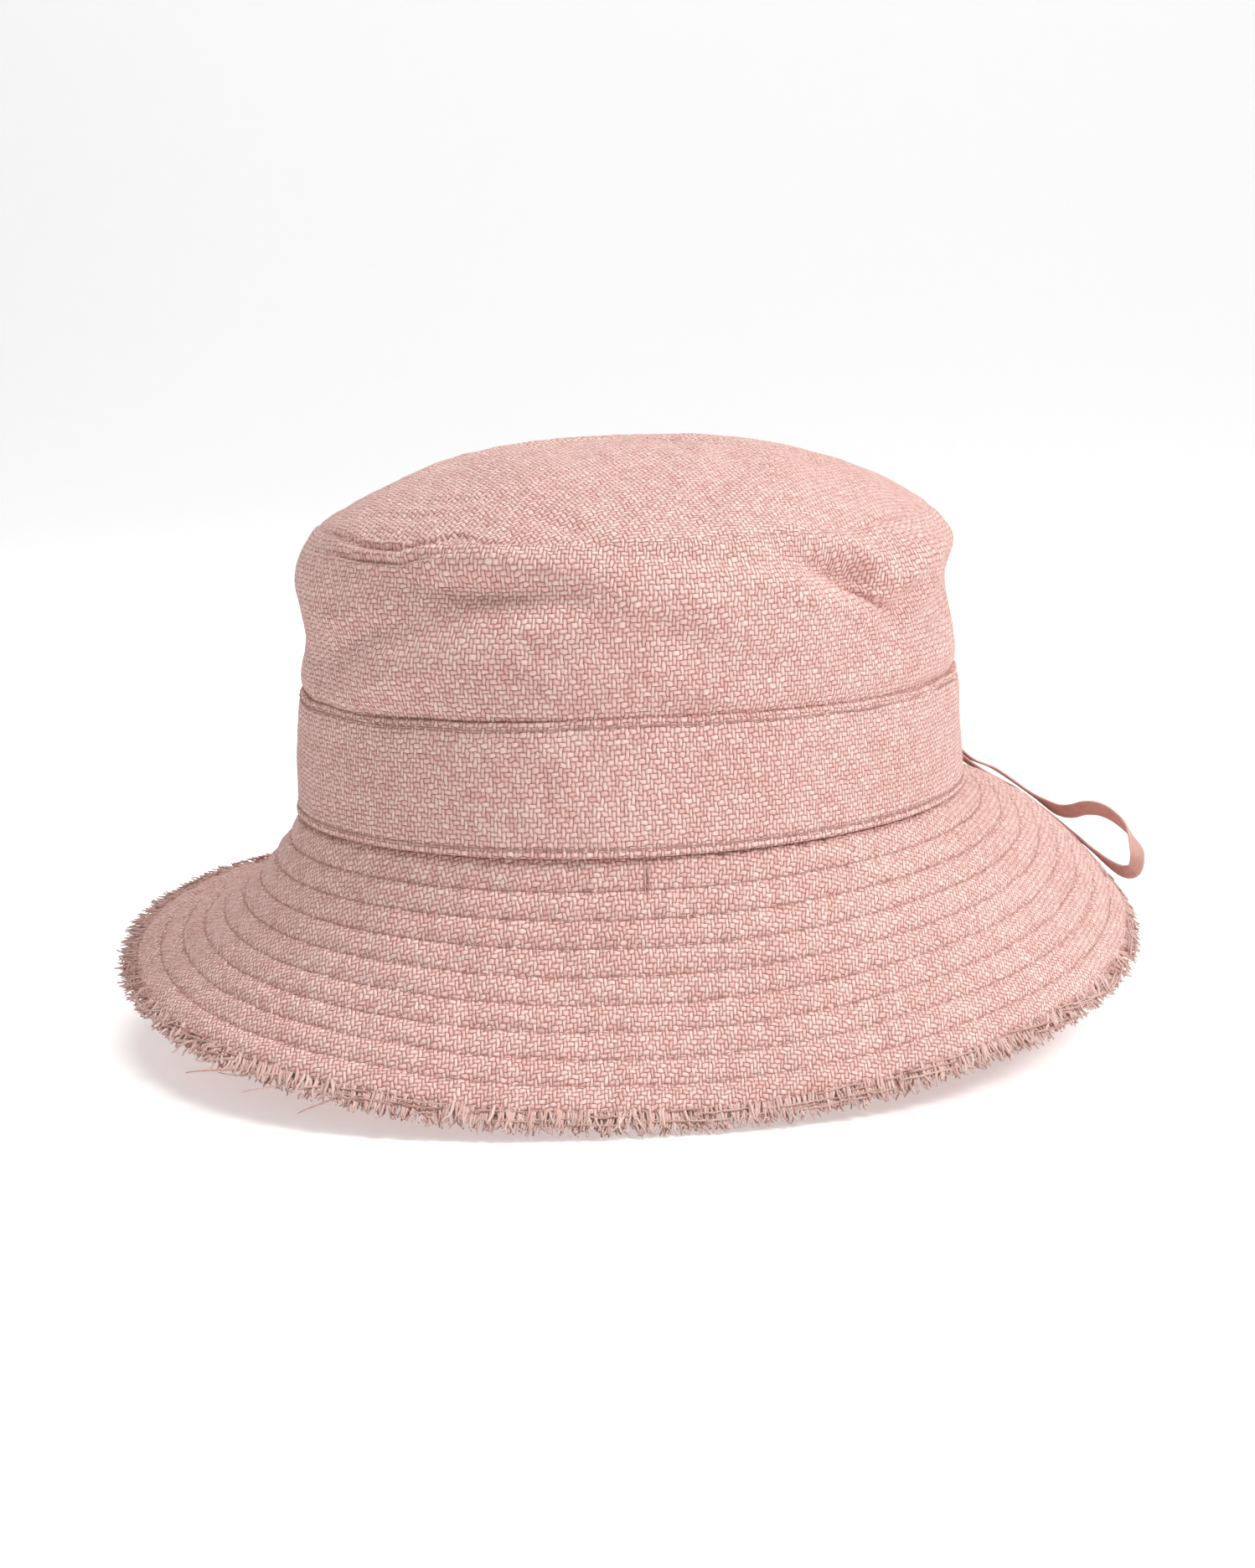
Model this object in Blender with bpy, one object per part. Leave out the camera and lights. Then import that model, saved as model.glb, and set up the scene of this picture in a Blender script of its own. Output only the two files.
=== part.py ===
"""Soft cloth bucket hat with a quilted, raw-edged brim and a tie strap knotted at the back.

Origin: centre of the head opening, on the plane where the hat band's lower fold meets the brim.
+Z up through the crown, -Y the front of the hat, +Y the back, where the strap is tied in a bow.
Sizes below are in millimetres; the meshes are built in metres.
"""

import bpy
import numpy as np

# ---- driving sizes -------------------------------------------------------------------------------
BAND_HALF_LENGTH = 99.5      # outer face of the hat band, front to back
BAND_HALF_WIDTH = 88.5       # outer face of the hat band, side to side
BAND_THICKNESS = 1.2         # the band is one strip folded to two plies
STRAP_THICKNESS = 0.8        # flat woven strap inside the band
STRAP_WIDTH = 4.6
PLY = 0.8                    # outer cloth
LINING = 0.4
SWEATBAND = 0.8
INTERLINING = 0.5
GAP = 0.3                    # clearance between neighbouring pieces
BAND_TAPER = 1.5             # the band leans in by this much at its upper edge
CROWN_TOP = 100.8            # highest point of the crown
SEAM_Z, SEAM_IN = 78.6, 6.3  # seam between the crown's tip and its side: height, and inset from the band
BRIM_WIDTH = 75.0            # along the cloth, from the band to the tips of the fray
BRIM_TRIM = 3.0              # the brim is this much narrower on the two flared flanks
ROWS, ROW_FIRST, ROW_STEP = 9, 8.6, 7.45
FRAY = 6.5                   # the outer edge left raw and frayed
BACK_SLOT = 5.0              # half the gap between the band's two ends, where the strap comes out
# Each bow loop in plan, from the knot's middle: (sideways, backwards)
LOOP_PLAN = (
    ((5.2, 1.7), (9.8, 17.5), (19.5, 36.0), (34.0, 41.5), (48.0, 38.5), (66.0, 32.5), (76.5, 27.5)),
    ((5.2, 1.7), (14.0, 13.5), (27.0, 24.5), (42.0, 29.0), (55.0, 26.0), (62.0, 22.0)),
)
LOOP_RUN = (
    ((0.2, 3.8, (1, 0, 0)), (0.32, 3.4, (1, 0, 0)), (0.44, 3.4, (1, 0, 0)), (0.52, 4.8, (0.8, -0.2, -0.6)),
     (0.58, 8.4, (0.6, -0.1, -0.9)), (0.66, 13.2, (0.5, 0, -1)), (0.74, 17.2, (0.5, 0, -1)),
     (0.82, 20.0, (0.5, 0.1, -0.9)), (0.9, 21.6, (0.5, 0.4, -0.8)), (0.96, 21.4, (0.3, 0.8, -0.4)),
     (1.0, 18.5, (0, 1, 0)), (0.99, 14.0, (-0.2, 1, 0.3)), (0.95, 10.5, (-0.5, 0.8, 0.6)),
     (0.88, 6.6, (-0.8, 0.6, 0.6)), (0.8, 4.0, (-1, 0.3, 0.3)), (0.7, 2.6, (-1, 0, 0)), (0.6, 2.2, (-1, 0, 0)),
     (0.4, 1.9, (-1, 0, 0)), (0.22, 2.2, (-1, 0, 0))),
    ((0.2, 6.0, (1, 0, 0)), (0.34, 6.5, (1, 0, 0)), (0.55, 8.5, (1, 0, 0.2)), (0.78, 10.0, (1, 0.3, 0.3)),
     (0.92, 9.5, (0.6, 1, 0.3)), (1.0, 7.0, (0, 1, 0.3)), (0.96, 4.6, (-0.7, 1, 0.2)),
     (0.82, 2.6, (-1, 0, 0)), (0.6, 2.1, (-1, 0, 0)), (0.4, 1.9, (-1, 0, 0)), (0.24, 2.2, (-1, 0, 0))),
)
TAIL_ROOT = (0.95, 6.0)      # where each tail leaves the knot: sideways, backwards
TAIL_TURN = (80.0, 77.0)     # how far each tail points back from straight sideways, degrees
TAIL_REACH = 40.0
SIDES = 40                   # columns round the hat

# The hat droops unevenly: eight directions, 45 degrees apart, counted from FIRST_KEY (0 = +X, 90 = +Y).
FIRST_KEY = 140.0
SLOPE_AT_BAND = (46, 64, 70, 70, 79, 57, 38, 10)      # degrees below level
SLOPE_AT_EDGE = (32, -3, 10, 32, 39, 40, 48, 58)
SLOPE_BEND = (1.1, 1.0, 0.75, 0.8, 1.1, 1.6, 1.3, 1.35)  # how late along the cloth the slope changes
BAND_LOWER = (2.0, 1.0, 0.0, -0.6, -1.2, -0.6, 0.5, 1.5)
BAND_UPPER = (35.0, 34.0, 34.0, 33.0, 34.0, 33.0, 33.5, 35.0)

# Soft hollows pressed into the crown: direction, height, half width round, half height, depth, all mm or deg.
HOLLOWS = (
    (50.0, 55.0, 48.0, 22.0, 3.6),
    (-128.0, 58.0, 42.0, 26.0, 1.9),
    (3.0, 67.0, 17.0, 9.0, 4.2),
    (-64.0, 67.0, 34.0, 11.0, 3.0),
    (175.0, 60.0, 30.0, 16.0, 2.5),
)

# ---- shape of the hat ----------------------------------------------------------------------------


def keyed(values, degrees):
    """Smooth closed curve through eight equally spaced values."""
    values = np.asarray(values, float)
    turn = np.radians(np.asarray(degrees, float)[..., None] - FIRST_KEY - 45.0 * np.arange(8))
    half = np.sin(turn / 2)
    safe = np.where(np.abs(half) < 1e-9, 1.0, half)
    weight = np.where(np.abs(half) < 1e-9, 1.0, np.sin(4 * turn) * np.cos(turn / 2) / (8 * safe))
    return (weight * values).sum(-1)


def oval(degrees):
    """Distance from the axis to the band's outer face."""
    turn = np.radians(degrees)
    return 1 / np.sqrt((np.cos(turn) / BAND_HALF_WIDTH) ** 2 + (np.sin(turn) / BAND_HALF_LENGTH) ** 2)


def place(degrees, radius, height):
    turn = np.radians(degrees)
    return np.stack(np.broadcast_arrays(radius * np.cos(turn), radius * np.sin(turn), height), -1)


SIDE_INSET = BAND_THICKNESS + GAP + STRAP_THICKNESS + GAP
# Side of the crown: (height, inset from the band's outer face at its foot)
SIDE_LEVELS = (
    (0.2, SIDE_INSET), (35.0, SIDE_INSET + BAND_TAPER - 0.4), (46.0, 2.6), (60.0, 0.3), (70.0, 1.4),
    (SEAM_Z - 0.45, SEAM_IN - 0.75),
)
TIP_LEVELS = (1.0, 0.88, 0.72, 0.52, 0.28)  # rings of the tip, as fractions of its radius


def crown_line(degrees):
    """Heights and distances from the axis, from the foot of the side to the last ring of the tip."""
    lower, reach = keyed(BAND_LOWER, degrees), oval(degrees)
    points = []
    for height, inset in SIDE_LEVELS:
        fade = np.clip(1 - height / 40.0, 0, 1)
        points.append((reach - inset, height + lower * fade))
    for part in TIP_LEVELS:
        points.append(((reach - SEAM_IN) * part, CROWN_TOP - (CROWN_TOP - SEAM_Z) * part**2.6 + 0 * reach))
    points.append((0 * reach, CROWN_TOP + 0 * reach))
    return np.array([p[0] for p in points]), np.array([p[1] for p in points])


def hollow(degrees, height):
    depth = 0.0
    for at, level, wide, tall, deep in HOLLOWS:
        away = (np.asarray(degrees) - at + 180) % 360 - 180
        along = np.radians(away) * 92.0
        depth = depth + deep * np.exp(-((along / wide) ** 2) - ((height - level) / tall) ** 2)
    return depth * np.clip((height - 36.0) / 8.0, 0, 1)


def unit(vectors):
    return vectors / np.linalg.norm(vectors, axis=-1, keepdims=True)


def crown_grid(degrees):
    """Outer face of the crown and its outward normals, [level, column, xyz]."""
    radius, height = crown_line(degrees)
    face = place(degrees, radius, height)
    up = np.gradient(face, axis=0)
    seam = len(SIDE_LEVELS)
    up[seam - 1] = up[seam] = face[seam + 1] - face[seam - 2]
    around = np.roll(face, -1, 1) - np.roll(face, 1, 1)
    around[-1] = around[-2]
    normal = unit(np.cross(around, up))
    normal[-1] = (0, 0, 1)
    dented = face - normal * hollow(degrees, height)[..., None]
    up = np.gradient(dented, axis=0)
    up[seam - 1] = up[seam] = dented[seam + 1] - dented[seam - 2]
    up[0] = dented[1] - dented[0]
    around = np.roll(dented, -1, 1) - np.roll(dented, 1, 1)
    around[-1] = around[-2]
    normal = unit(np.cross(around, up))
    normal[-1] = (0, 0, 1)
    return dented, normal


def brim_width(degrees):
    return BRIM_WIDTH - BRIM_TRIM * np.sin(np.radians(np.asarray(degrees) + 40.0)) ** 2


def brim_path(degrees, steps=155):
    """Distance from the axis and height of the brim's upper face, at even steps along the cloth."""
    start, end, bend = (keyed(v, degrees) for v in (SLOPE_AT_BAND, SLOPE_AT_EDGE, SLOPE_BEND))
    width = brim_width(degrees)
    radius = [oval(degrees) - 1.2]
    height = [keyed(BAND_LOWER, degrees) - 0.5]
    for k in range(steps):
        slope = np.radians(start + (end - start) * ((k + 0.5) / steps) ** bend)
        radius.append(radius[-1] + np.cos(slope) * width / steps)
        height.append(height[-1] - np.sin(slope) * width / steps)
    return np.array(radius), np.array(height)


def brim_levels():
    rows = [ROW_FIRST + ROW_STEP * i for i in range(ROWS)]
    return [0.0] + [row / BRIM_WIDTH for row in rows] + [1.0]


def brim_grid(degrees, parts):
    """Upper face of the brim and its normals at fractions of the width, [level, column, xyz]."""
    steps = 155
    radius, height = brim_path(degrees, steps)
    at = np.asarray(parts) * steps
    low = np.minimum(at.astype(int), steps - 1)
    mix = (at - low)[:, None]
    radius = radius[low] * (1 - mix) + radius[low + 1] * mix
    height = height[low] * (1 - mix) + height[low + 1] * mix
    face = place(degrees, radius, height)
    out = np.gradient(face, axis=0)
    around = np.roll(face, -1, 1) - np.roll(face, 1, 1)
    return face, unit(np.cross(out, around)), unit(out)


def brim_height(x, y):
    """Height of the brim's upper face over a point of the plan."""
    degrees = np.degrees(np.arctan2(y, x))
    radius, height = brim_path(np.array([degrees]))
    return float(np.interp(np.hypot(x, y), radius[:, 0], height[:, 0]))


def brim_lean(x, y):
    """The way the brim's upper face looks over a point of the plan."""
    rise_x = (brim_height(x + 1.0, y) - brim_height(x - 1.0, y)) / 2.0
    rise_y = (brim_height(x, y + 1.0) - brim_height(x, y - 1.0)) / 2.0
    return np.array([-rise_x, -rise_y, 1.0]) / np.sqrt(1 + rise_x**2 + rise_y**2)


# ---- mesh makers ---------------------------------------------------------------------------------


def solid(name, points, faces, colour, rough=0.85):
    points = np.asarray(points, float) * 0.001
    fans = [(f[0], f[i], f[i + 1]) for f in faces for i in range(1, len(f) - 1)]
    if np.linalg.det(points[np.array(fans)]).sum() < 0:  # wound inwards
        faces = [f[::-1] for f in faces]
    mesh = bpy.data.meshes.new(name)
    mesh.from_pydata([tuple(p) for p in points], [], faces)
    mesh.validate()
    mesh.update()
    for polygon in mesh.polygons:
        polygon.use_smooth = True
    obj = bpy.data.objects.new(name, mesh)
    bpy.context.scene.collection.objects.link(obj)
    material = bpy.data.materials.new(name + "_material")
    material.use_nodes = True
    shader = material.node_tree.nodes["Principled BSDF"]
    shader.inputs["Base Color"].default_value = (*colour, 1.0)
    shader.inputs["Roughness"].default_value = rough
    mesh.materials.append(material)
    return obj


def triangles(a, b, c, d):
    return [(a, b, c), (a, c, d)]


def shell(name, top, under, colour, ring=True):
    """Cloth between two matching grids [level, column, xyz]; `top` is the face whose normal points out
    when levels run down the columns and columns run anticlockwise."""
    levels, columns = top.shape[:2]
    points = np.concatenate([top.reshape(-1, 3), under.reshape(-1, 3)])
    lift = levels * columns

    def at(level, column, side):
        return side * lift + level * columns + column % columns

    faces = []
    spans = columns if ring else columns - 1
    for i in range(levels - 1):
        for j in range(spans):
            faces += triangles(at(i, j, 0), at(i + 1, j, 0), at(i + 1, j + 1, 0), at(i, j + 1, 0))
            faces += [f[::-1] for f in
                      triangles(at(i, j, 1), at(i + 1, j, 1), at(i + 1, j + 1, 1), at(i, j + 1, 1))]
    for j in range(spans):
        faces += triangles(at(0, j, 1), at(0, j, 0), at(0, j + 1, 0), at(0, j + 1, 1))
        n = levels - 1
        faces += triangles(at(n, j, 0), at(n, j, 1), at(n, j + 1, 1), at(n, j + 1, 0))
    if not ring:
        for i in range(levels - 1):
            faces += triangles(at(i, 0, 0), at(i, 0, 1), at(i + 1, 0, 1), at(i + 1, 0, 0))
            n = columns - 1
            faces += triangles(at(i, n, 1), at(i, n, 0), at(i + 1, n, 0), at(i + 1, n, 1))
    return solid(name, points, faces, colour)


def cap_shell(name, top, under, colour):
    """Like shell, but the last level of each grid is one point: the middle of a dome."""
    levels, columns = top.shape[:2]
    rings = levels - 1
    points = np.concatenate([
        top[:-1].reshape(-1, 3), top[-1, :1], under[:-1].reshape(-1, 3), under[-1, :1]])
    lift = rings * columns + 1

    def at(level, column, side):
        if level == rings:
            return side * lift + rings * columns
        return side * lift + level * columns + column % columns

    faces = []
    for j in range(columns):
        for i in range(rings - 1):
            faces += [f[::-1] for f in
                      triangles(at(i, j, 0), at(i + 1, j, 0), at(i + 1, j + 1, 0), at(i, j + 1, 0))]
            faces += triangles(at(i, j, 1), at(i + 1, j, 1), at(i + 1, j + 1, 1), at(i, j + 1, 1))
        faces.append((at(rings - 1, j + 1, 0), at(rings, 0, 0), at(rings - 1, j, 0)))
        faces.append((at(rings - 1, j, 1), at(rings, 0, 1), at(rings - 1, j + 1, 1)))
        faces += triangles(at(0, j, 0), at(0, j, 1), at(0, j + 1, 1), at(0, j + 1, 0))
    return solid(name, points, faces, colour)


def tube(name, rings, colour, closed):
    """Body through rings of points [ring, corner, xyz]; closed joins the last ring to the first."""
    count, corners = rings.shape[:2]
    faces = []
    for i in range(count if closed else count - 1):
        a, b = i * corners, (i + 1) % count * corners
        for j in range(corners):
            k = (j + 1) % corners
            faces += triangles(a + j, a + k, b + k, b + j)
    if not closed:
        faces += [tuple(range(corners))[::-1], tuple(range((count - 1) * corners, count * corners))]
    return solid(name, rings.reshape(-1, 3), faces, colour)


def open_columns(grid):
    """The grid cut at the back slot: starts and ends BACK_SLOT either side of +Y, on the chords."""
    back = SIDES // 4  # column at 90 degrees
    turned = np.roll(grid, -back, 1)
    first, second, last = turned[:, :1], turned[:, 1:2], turned[:, -1:]
    mix = BACK_SLOT / np.linalg.norm(second - first, axis=-1).mean()
    return np.concatenate([first + (second - first) * mix, turned[:, 1:], first + (last - first) * mix], 1)


# ---- the pieces ----------------------------------------------------------------------------------
for old in list(bpy.data.objects):
    bpy.data.objects.remove(old, do_unlink=True)

PINK, PALE, THREAD, STRAP = (0.66, 0.36, 0.32), (0.78, 0.62, 0.56), (0.6, 0.3, 0.27), (0.66, 0.38, 0.33)
angles = np.arange(SIDES) * 360.0 / SIDES

# Crown: side wall and tip in the outer cloth, both lined
crown, crown_normal = crown_grid(angles)
seam = len(SIDE_LEVELS)
side, side_normal = crown[:seam], crown_normal[:seam]
tip, tip_normal = crown[seam:], crown_normal[seam:]


def inwards(grid, normal, depth):
    return grid - normal * depth


shell("crown_side", side[::-1], inwards(side, side_normal, PLY)[::-1], PINK)
cap_shell("crown_tip", tip, inwards(tip, tip_normal, PLY), PINK)
liner = PLY + GAP
low = side.copy()
low[0] += (side[1] - side[0]) * 0.06
shell("side_lining", inwards(low, side_normal, liner)[::-1],
      inwards(low, side_normal, liner + LINING)[::-1], PALE)
cap_shell("tip_lining", inwards(tip, tip_normal, liner), inwards(tip, tip_normal, liner + LINING), PALE)

# Sweatband, on the straight lower part of the side
sweat = liner + LINING + GAP
foot, head = side[0], side[1]
strip = np.stack([foot + (head - foot) * 0.86, foot + (head - foot) * 0.02])
strip_normal = np.stack([side_normal[0]] * 2)
shell("sweatband", inwards(strip, strip_normal, sweat), inwards(strip, strip_normal, sweat + SWEATBAND), PALE)

# Hat band: a folded strip open at the back, its two topstitched edges, and the strap it carries
lower, upper = keyed(BAND_LOWER, angles), keyed(BAND_UPPER, angles)
outward = unit(place(angles, np.ones(SIDES), np.zeros(SIDES)))


def band_face(share, depth):
    height = lower + (upper - lower) * share
    lean = BAND_TAPER * (height / 34.0)
    return place(angles, oval(angles) - lean - depth, height)


def band_grid(shares, depth):
    return open_columns(np.stack([band_face(s, depth) for s in shares]))


shell("hat_band", band_grid((1, 0.5, 0), 0), band_grid((1, 0.5, 0), BAND_THICKNESS), PINK, ring=False)
for name, share in (("band_stitch_top", 0.955), ("band_stitch_bottom", 0.085)):
    rings = np.stack([
        band_grid((share + 0.011,), -GAP)[0], band_grid((share,), -GAP - 0.45)[0],
        band_grid((share - 0.011,), -GAP)[0]], 1)
    tube(name, rings[::-1], THREAD, closed=False)

half = STRAP_WIDTH / 2 / 34.0
near, far = BAND_THICKNESS + GAP, BAND_THICKNESS + GAP + STRAP_THICKNESS
strap_side = []
for share, depth in ((0.5 + half, near), (0.5 - half, near), (0.5 - half, far), (0.5 + half, far)):
    face = np.roll(band_face(share, depth), -(SIDES // 4), 0)
    start = face[0] + (face[1] - face[0]) * 0.08
    end = face[0] + (face[-1] - face[0]) * 0.08
    strap_side.append(np.concatenate([start[None], face[1:], end[None]]))
tube("tie_in_band", np.stack(strap_side, 1), STRAP, closed=False)

# Brim: two plies of the outer cloth and a stiffening between them, held by rings of stitches
levels = brim_levels()
brim, brim_normal, brim_out = brim_grid(angles, levels)
under = PLY + GAP + INTERLINING + GAP
shell("brim_upper", brim, inwards(brim, brim_normal, PLY), PINK)
core = brim[:-1].copy()
shell("brim_interlining", inwards(core, brim_normal[:-1], PLY + GAP),
      inwards(core, brim_normal[:-1], PLY + GAP + INTERLINING), (0.8, 0.78, 0.74))
shell("brim_under", inwards(brim, brim_normal, under), inwards(brim, brim_normal, under + PLY), PINK)
for i in range(ROWS):
    at, up, out = brim[i + 1], brim_normal[i + 1], brim_out[i + 1]
    rings = np.stack([at + up * GAP - out * 0.35, at + up * (GAP + 0.45), at + up * GAP + out * 0.35], 1)
    tube(f"brim_stitch_{i + 1}", rings[::-1], THREAD, closed=True)

# Bow at the back: knot over the band's slot, two loops and two tails
KNOT = np.array([0.0, BAND_HALF_LENGTH + 3.4, 17.5])
KNOT_RADIUS = 4.2


def knot():
    rows, columns = 7, 14
    points = [KNOT + (0, 0, KNOT_RADIUS)]
    for i in range(1, rows):
        for j in range(columns):
            a, b = np.pi * i / rows, 2 * np.pi * j / columns
            points.append(KNOT + KNOT_RADIUS * np.array(
                (np.sin(a) * np.cos(b), 0.86 * np.sin(a) * np.sin(b), np.cos(a))))
    points.append(KNOT - (0, 0, KNOT_RADIUS))
    faces = []
    for j in range(columns):
        k = (j + 1) % columns
        faces.append((0, 1 + j, 1 + k))
        for i in range(rows - 2):
            a, b = 1 + i * columns, 1 + (i + 1) * columns
            faces += triangles(a + j, b + j, b + k, a + k)
        last = 1 + (rows - 2) * columns
        faces.append((last + j, len(points) - 1, last + k))
    solid("tie_knot", points, faces, STRAP)


def smooth_line(points, count):
    """Catmull-Rom curve through the points, evenly resampled."""
    p = np.asarray(points, float)
    p = np.concatenate([[2 * p[0] - p[1]], p, [2 * p[-1] - p[-2]]])
    t = np.linspace(0, 1, 14, endpoint=False)[:, None]
    dense = [
        0.5 * (2 * b + (c - a) * t + (2 * a - 5 * b + 4 * c - d) * t**2 + (3 * b - a - 3 * c + d) * t**3)
        for a, b, c, d in zip(p[:-3], p[1:-2], p[2:-1], p[3:])
    ]
    dense = np.concatenate([*dense, p[-2:-1]])
    run = np.concatenate([[0], np.linalg.norm(np.diff(dense[:, :3], axis=0), axis=1).cumsum()])
    even = np.linspace(0, run[-1], count)
    return np.stack([np.interp(even, run, dense[:, i]) for i in range(p.shape[1])], 1)


def strap(name, line, flat):
    """Flat strap along a line; `flat` gives the direction its flat face looks, at each point."""
    ahead = unit(np.gradient(line, axis=0))
    across = unit(np.cross(flat, ahead))
    thick = unit(np.cross(ahead, across)) * STRAP_THICKNESS / 2
    across = across * STRAP_WIDTH / 2
    rings = np.stack([line + across + thick, line - across + thick,
                      line - across - thick, line + across - thick], 1)
    tube(name, rings, STRAP, closed=False)


def loop_line(hand, plan, run):
    """Bow loop from the knot, out on top and back below, and the way its strap's outer face looks."""
    flat = smooth_line([(x * hand, y, 0.0) for x, y in plan], 60)

    def over(share):
        at = np.clip(share, 0.0, 1.0) * 59
        spot = np.array([np.interp(at, np.arange(60), flat[:, i]) for i in range(2)])
        ahead = np.array([np.interp(at, np.arange(60), np.gradient(flat[:, i])) for i in range(2)])
        return spot + KNOT[:2], ahead / np.linalg.norm(ahead)

    (x, y), ahead = over(0.0)
    points = [(x, y, KNOT[2] + 3.0, 0, 0, 1)]
    for share, lift, (up, away, side_look) in run:
        (x, y), ahead = over(share)
        flank = np.array([ahead[1], -ahead[0]]) * hand
        look = np.append(ahead * away + flank * side_look, 0.0) + brim_lean(x, y) * up
        points.append((x, y, brim_height(x, y) + lift, *look))
    (x, y), ahead = over(0.0)
    points.append((x, y, KNOT[2] - 3.4, 0, 0, -1))
    line = smooth_line(points, 40)
    return line[:, :3], line[:, 3:]


def tail_line(turn, hand):
    """Tail leaving the knot and lying down on the brim."""
    way = np.array([hand * np.cos(np.radians(turn)), np.sin(np.radians(turn)), 0.0])
    start = KNOT + (hand * TAIL_ROOT[0], TAIL_ROOT[1], -0.1)
    points = [start, start + way * 5.0 + (0, 0, -3.4)]
    for reach, lift in ((10, 5.2), (18, 3.2), (28, 2.4), (TAIL_REACH, 2.4)):
        spot = start + way * reach
        points.append((*spot[:2], brim_height(spot[0], spot[1]) + lift))
    return smooth_line(points, 16), way


knot()
for k, (side_name, hand) in enumerate((("right", 1), ("left", -1))):
    line, face = loop_line(hand, LOOP_PLAN[k], LOOP_RUN[k])
    strap(f"tie_loop_{side_name}", line, face)
    line, way = tail_line(TAIL_TURN[k], hand)
    spots = np.array([brim_grid(np.degrees(np.arctan2(y, x)) + np.array([-1.0, 0, 1.0]), (0.2, 0.5))[1][0, 1]
                      for x, y, _ in line])
    twist = np.clip((np.arange(len(line)) - 2) / 5.0, 0, 1)[:, None]
    upright = np.array([way[1], -way[0], 0.0]) * hand
    strap(f"tie_tail_{side_name}", line, unit(upright * (1 - twist) + spots * twist))
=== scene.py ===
"""Looks of the bucket hat: woven canvas, quilting, stitches, frayed edge, linings and tie strap.

Shapes follow the part's own driving sizes, in millimetres, in the part's frame: the origin is the
centre of the head opening, +Z up, -Y the front, +Y the back where the strap is tied. Meshes are
made in metres. Directions are degrees from +X, anticlockwise seen from above.
"""

import bpy
import numpy as np
from mathutils import Matrix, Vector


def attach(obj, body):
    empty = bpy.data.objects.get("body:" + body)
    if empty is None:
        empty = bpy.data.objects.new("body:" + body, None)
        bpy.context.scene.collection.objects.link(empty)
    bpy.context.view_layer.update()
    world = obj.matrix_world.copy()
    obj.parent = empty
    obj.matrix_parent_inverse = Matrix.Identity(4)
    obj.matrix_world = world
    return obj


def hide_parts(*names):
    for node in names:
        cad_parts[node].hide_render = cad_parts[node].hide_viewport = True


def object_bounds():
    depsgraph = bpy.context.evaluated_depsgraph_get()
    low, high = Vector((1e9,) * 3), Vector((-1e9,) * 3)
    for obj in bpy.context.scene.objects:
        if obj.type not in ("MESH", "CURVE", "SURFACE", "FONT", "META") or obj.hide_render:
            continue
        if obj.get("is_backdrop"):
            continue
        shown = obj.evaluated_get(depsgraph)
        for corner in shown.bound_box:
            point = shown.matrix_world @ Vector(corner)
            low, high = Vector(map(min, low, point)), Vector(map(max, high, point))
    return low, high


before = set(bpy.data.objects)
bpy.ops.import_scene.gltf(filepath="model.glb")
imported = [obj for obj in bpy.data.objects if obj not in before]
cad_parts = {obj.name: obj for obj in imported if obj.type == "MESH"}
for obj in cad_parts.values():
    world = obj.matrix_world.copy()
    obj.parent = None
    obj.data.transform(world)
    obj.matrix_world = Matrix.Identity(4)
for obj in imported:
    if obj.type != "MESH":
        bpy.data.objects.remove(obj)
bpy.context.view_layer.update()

# ---- driving sizes, as in the part -----------------------------------------------------------------
BAND_HALF_LENGTH, BAND_HALF_WIDTH = 99.5, 88.5
BAND_THICKNESS, STRAP_THICKNESS, STRAP_WIDTH = 1.2, 0.8, 4.6
PLY, LINING, SWEATBAND, INTERLINING, GAP = 0.8, 0.4, 0.8, 0.5, 0.3
BAND_TAPER = 1.5
CROWN_TOP = 100.8
SEAM_Z, SEAM_IN = 78.6, 6.3
BRIM_WIDTH, BRIM_TRIM = 75.0, 3.0
ROWS, ROW_FIRST, ROW_STEP = 9, 8.6, 7.45
FRAY = 6.5
BACK_SLOT = 5.0
FIRST_KEY = 140.0
SLOPE_AT_BAND = (46, 64, 70, 70, 79, 57, 38, 10)
SLOPE_AT_EDGE = (32, -3, 10, 32, 39, 40, 48, 58)
SLOPE_BEND = (1.1, 1.0, 0.75, 0.8, 1.1, 1.6, 1.3, 1.35)
BAND_LOWER = (2.0, 1.0, 0.0, -0.6, -1.2, -0.6, 0.5, 1.5)
BAND_UPPER = (35.0, 34.0, 34.0, 33.0, 34.0, 33.0, 33.5, 35.0)
HOLLOWS = (
    (50.0, 55.0, 48.0, 22.0, 3.6),
    (-128.0, 58.0, 42.0, 26.0, 1.9),
    (3.0, 67.0, 17.0, 9.0, 4.2),
    (-64.0, 67.0, 34.0, 11.0, 3.0),
    (175.0, 60.0, 30.0, 16.0, 2.5),
)
LOOP_PLAN = (
    ((5.2, 1.7), (9.8, 17.5), (19.5, 36.0), (34.0, 41.5), (48.0, 38.5), (66.0, 32.5), (76.5, 27.5)),
    ((5.2, 1.7), (14.0, 13.5), (27.0, 24.5), (42.0, 29.0), (55.0, 26.0), (62.0, 22.0)),
)
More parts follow.
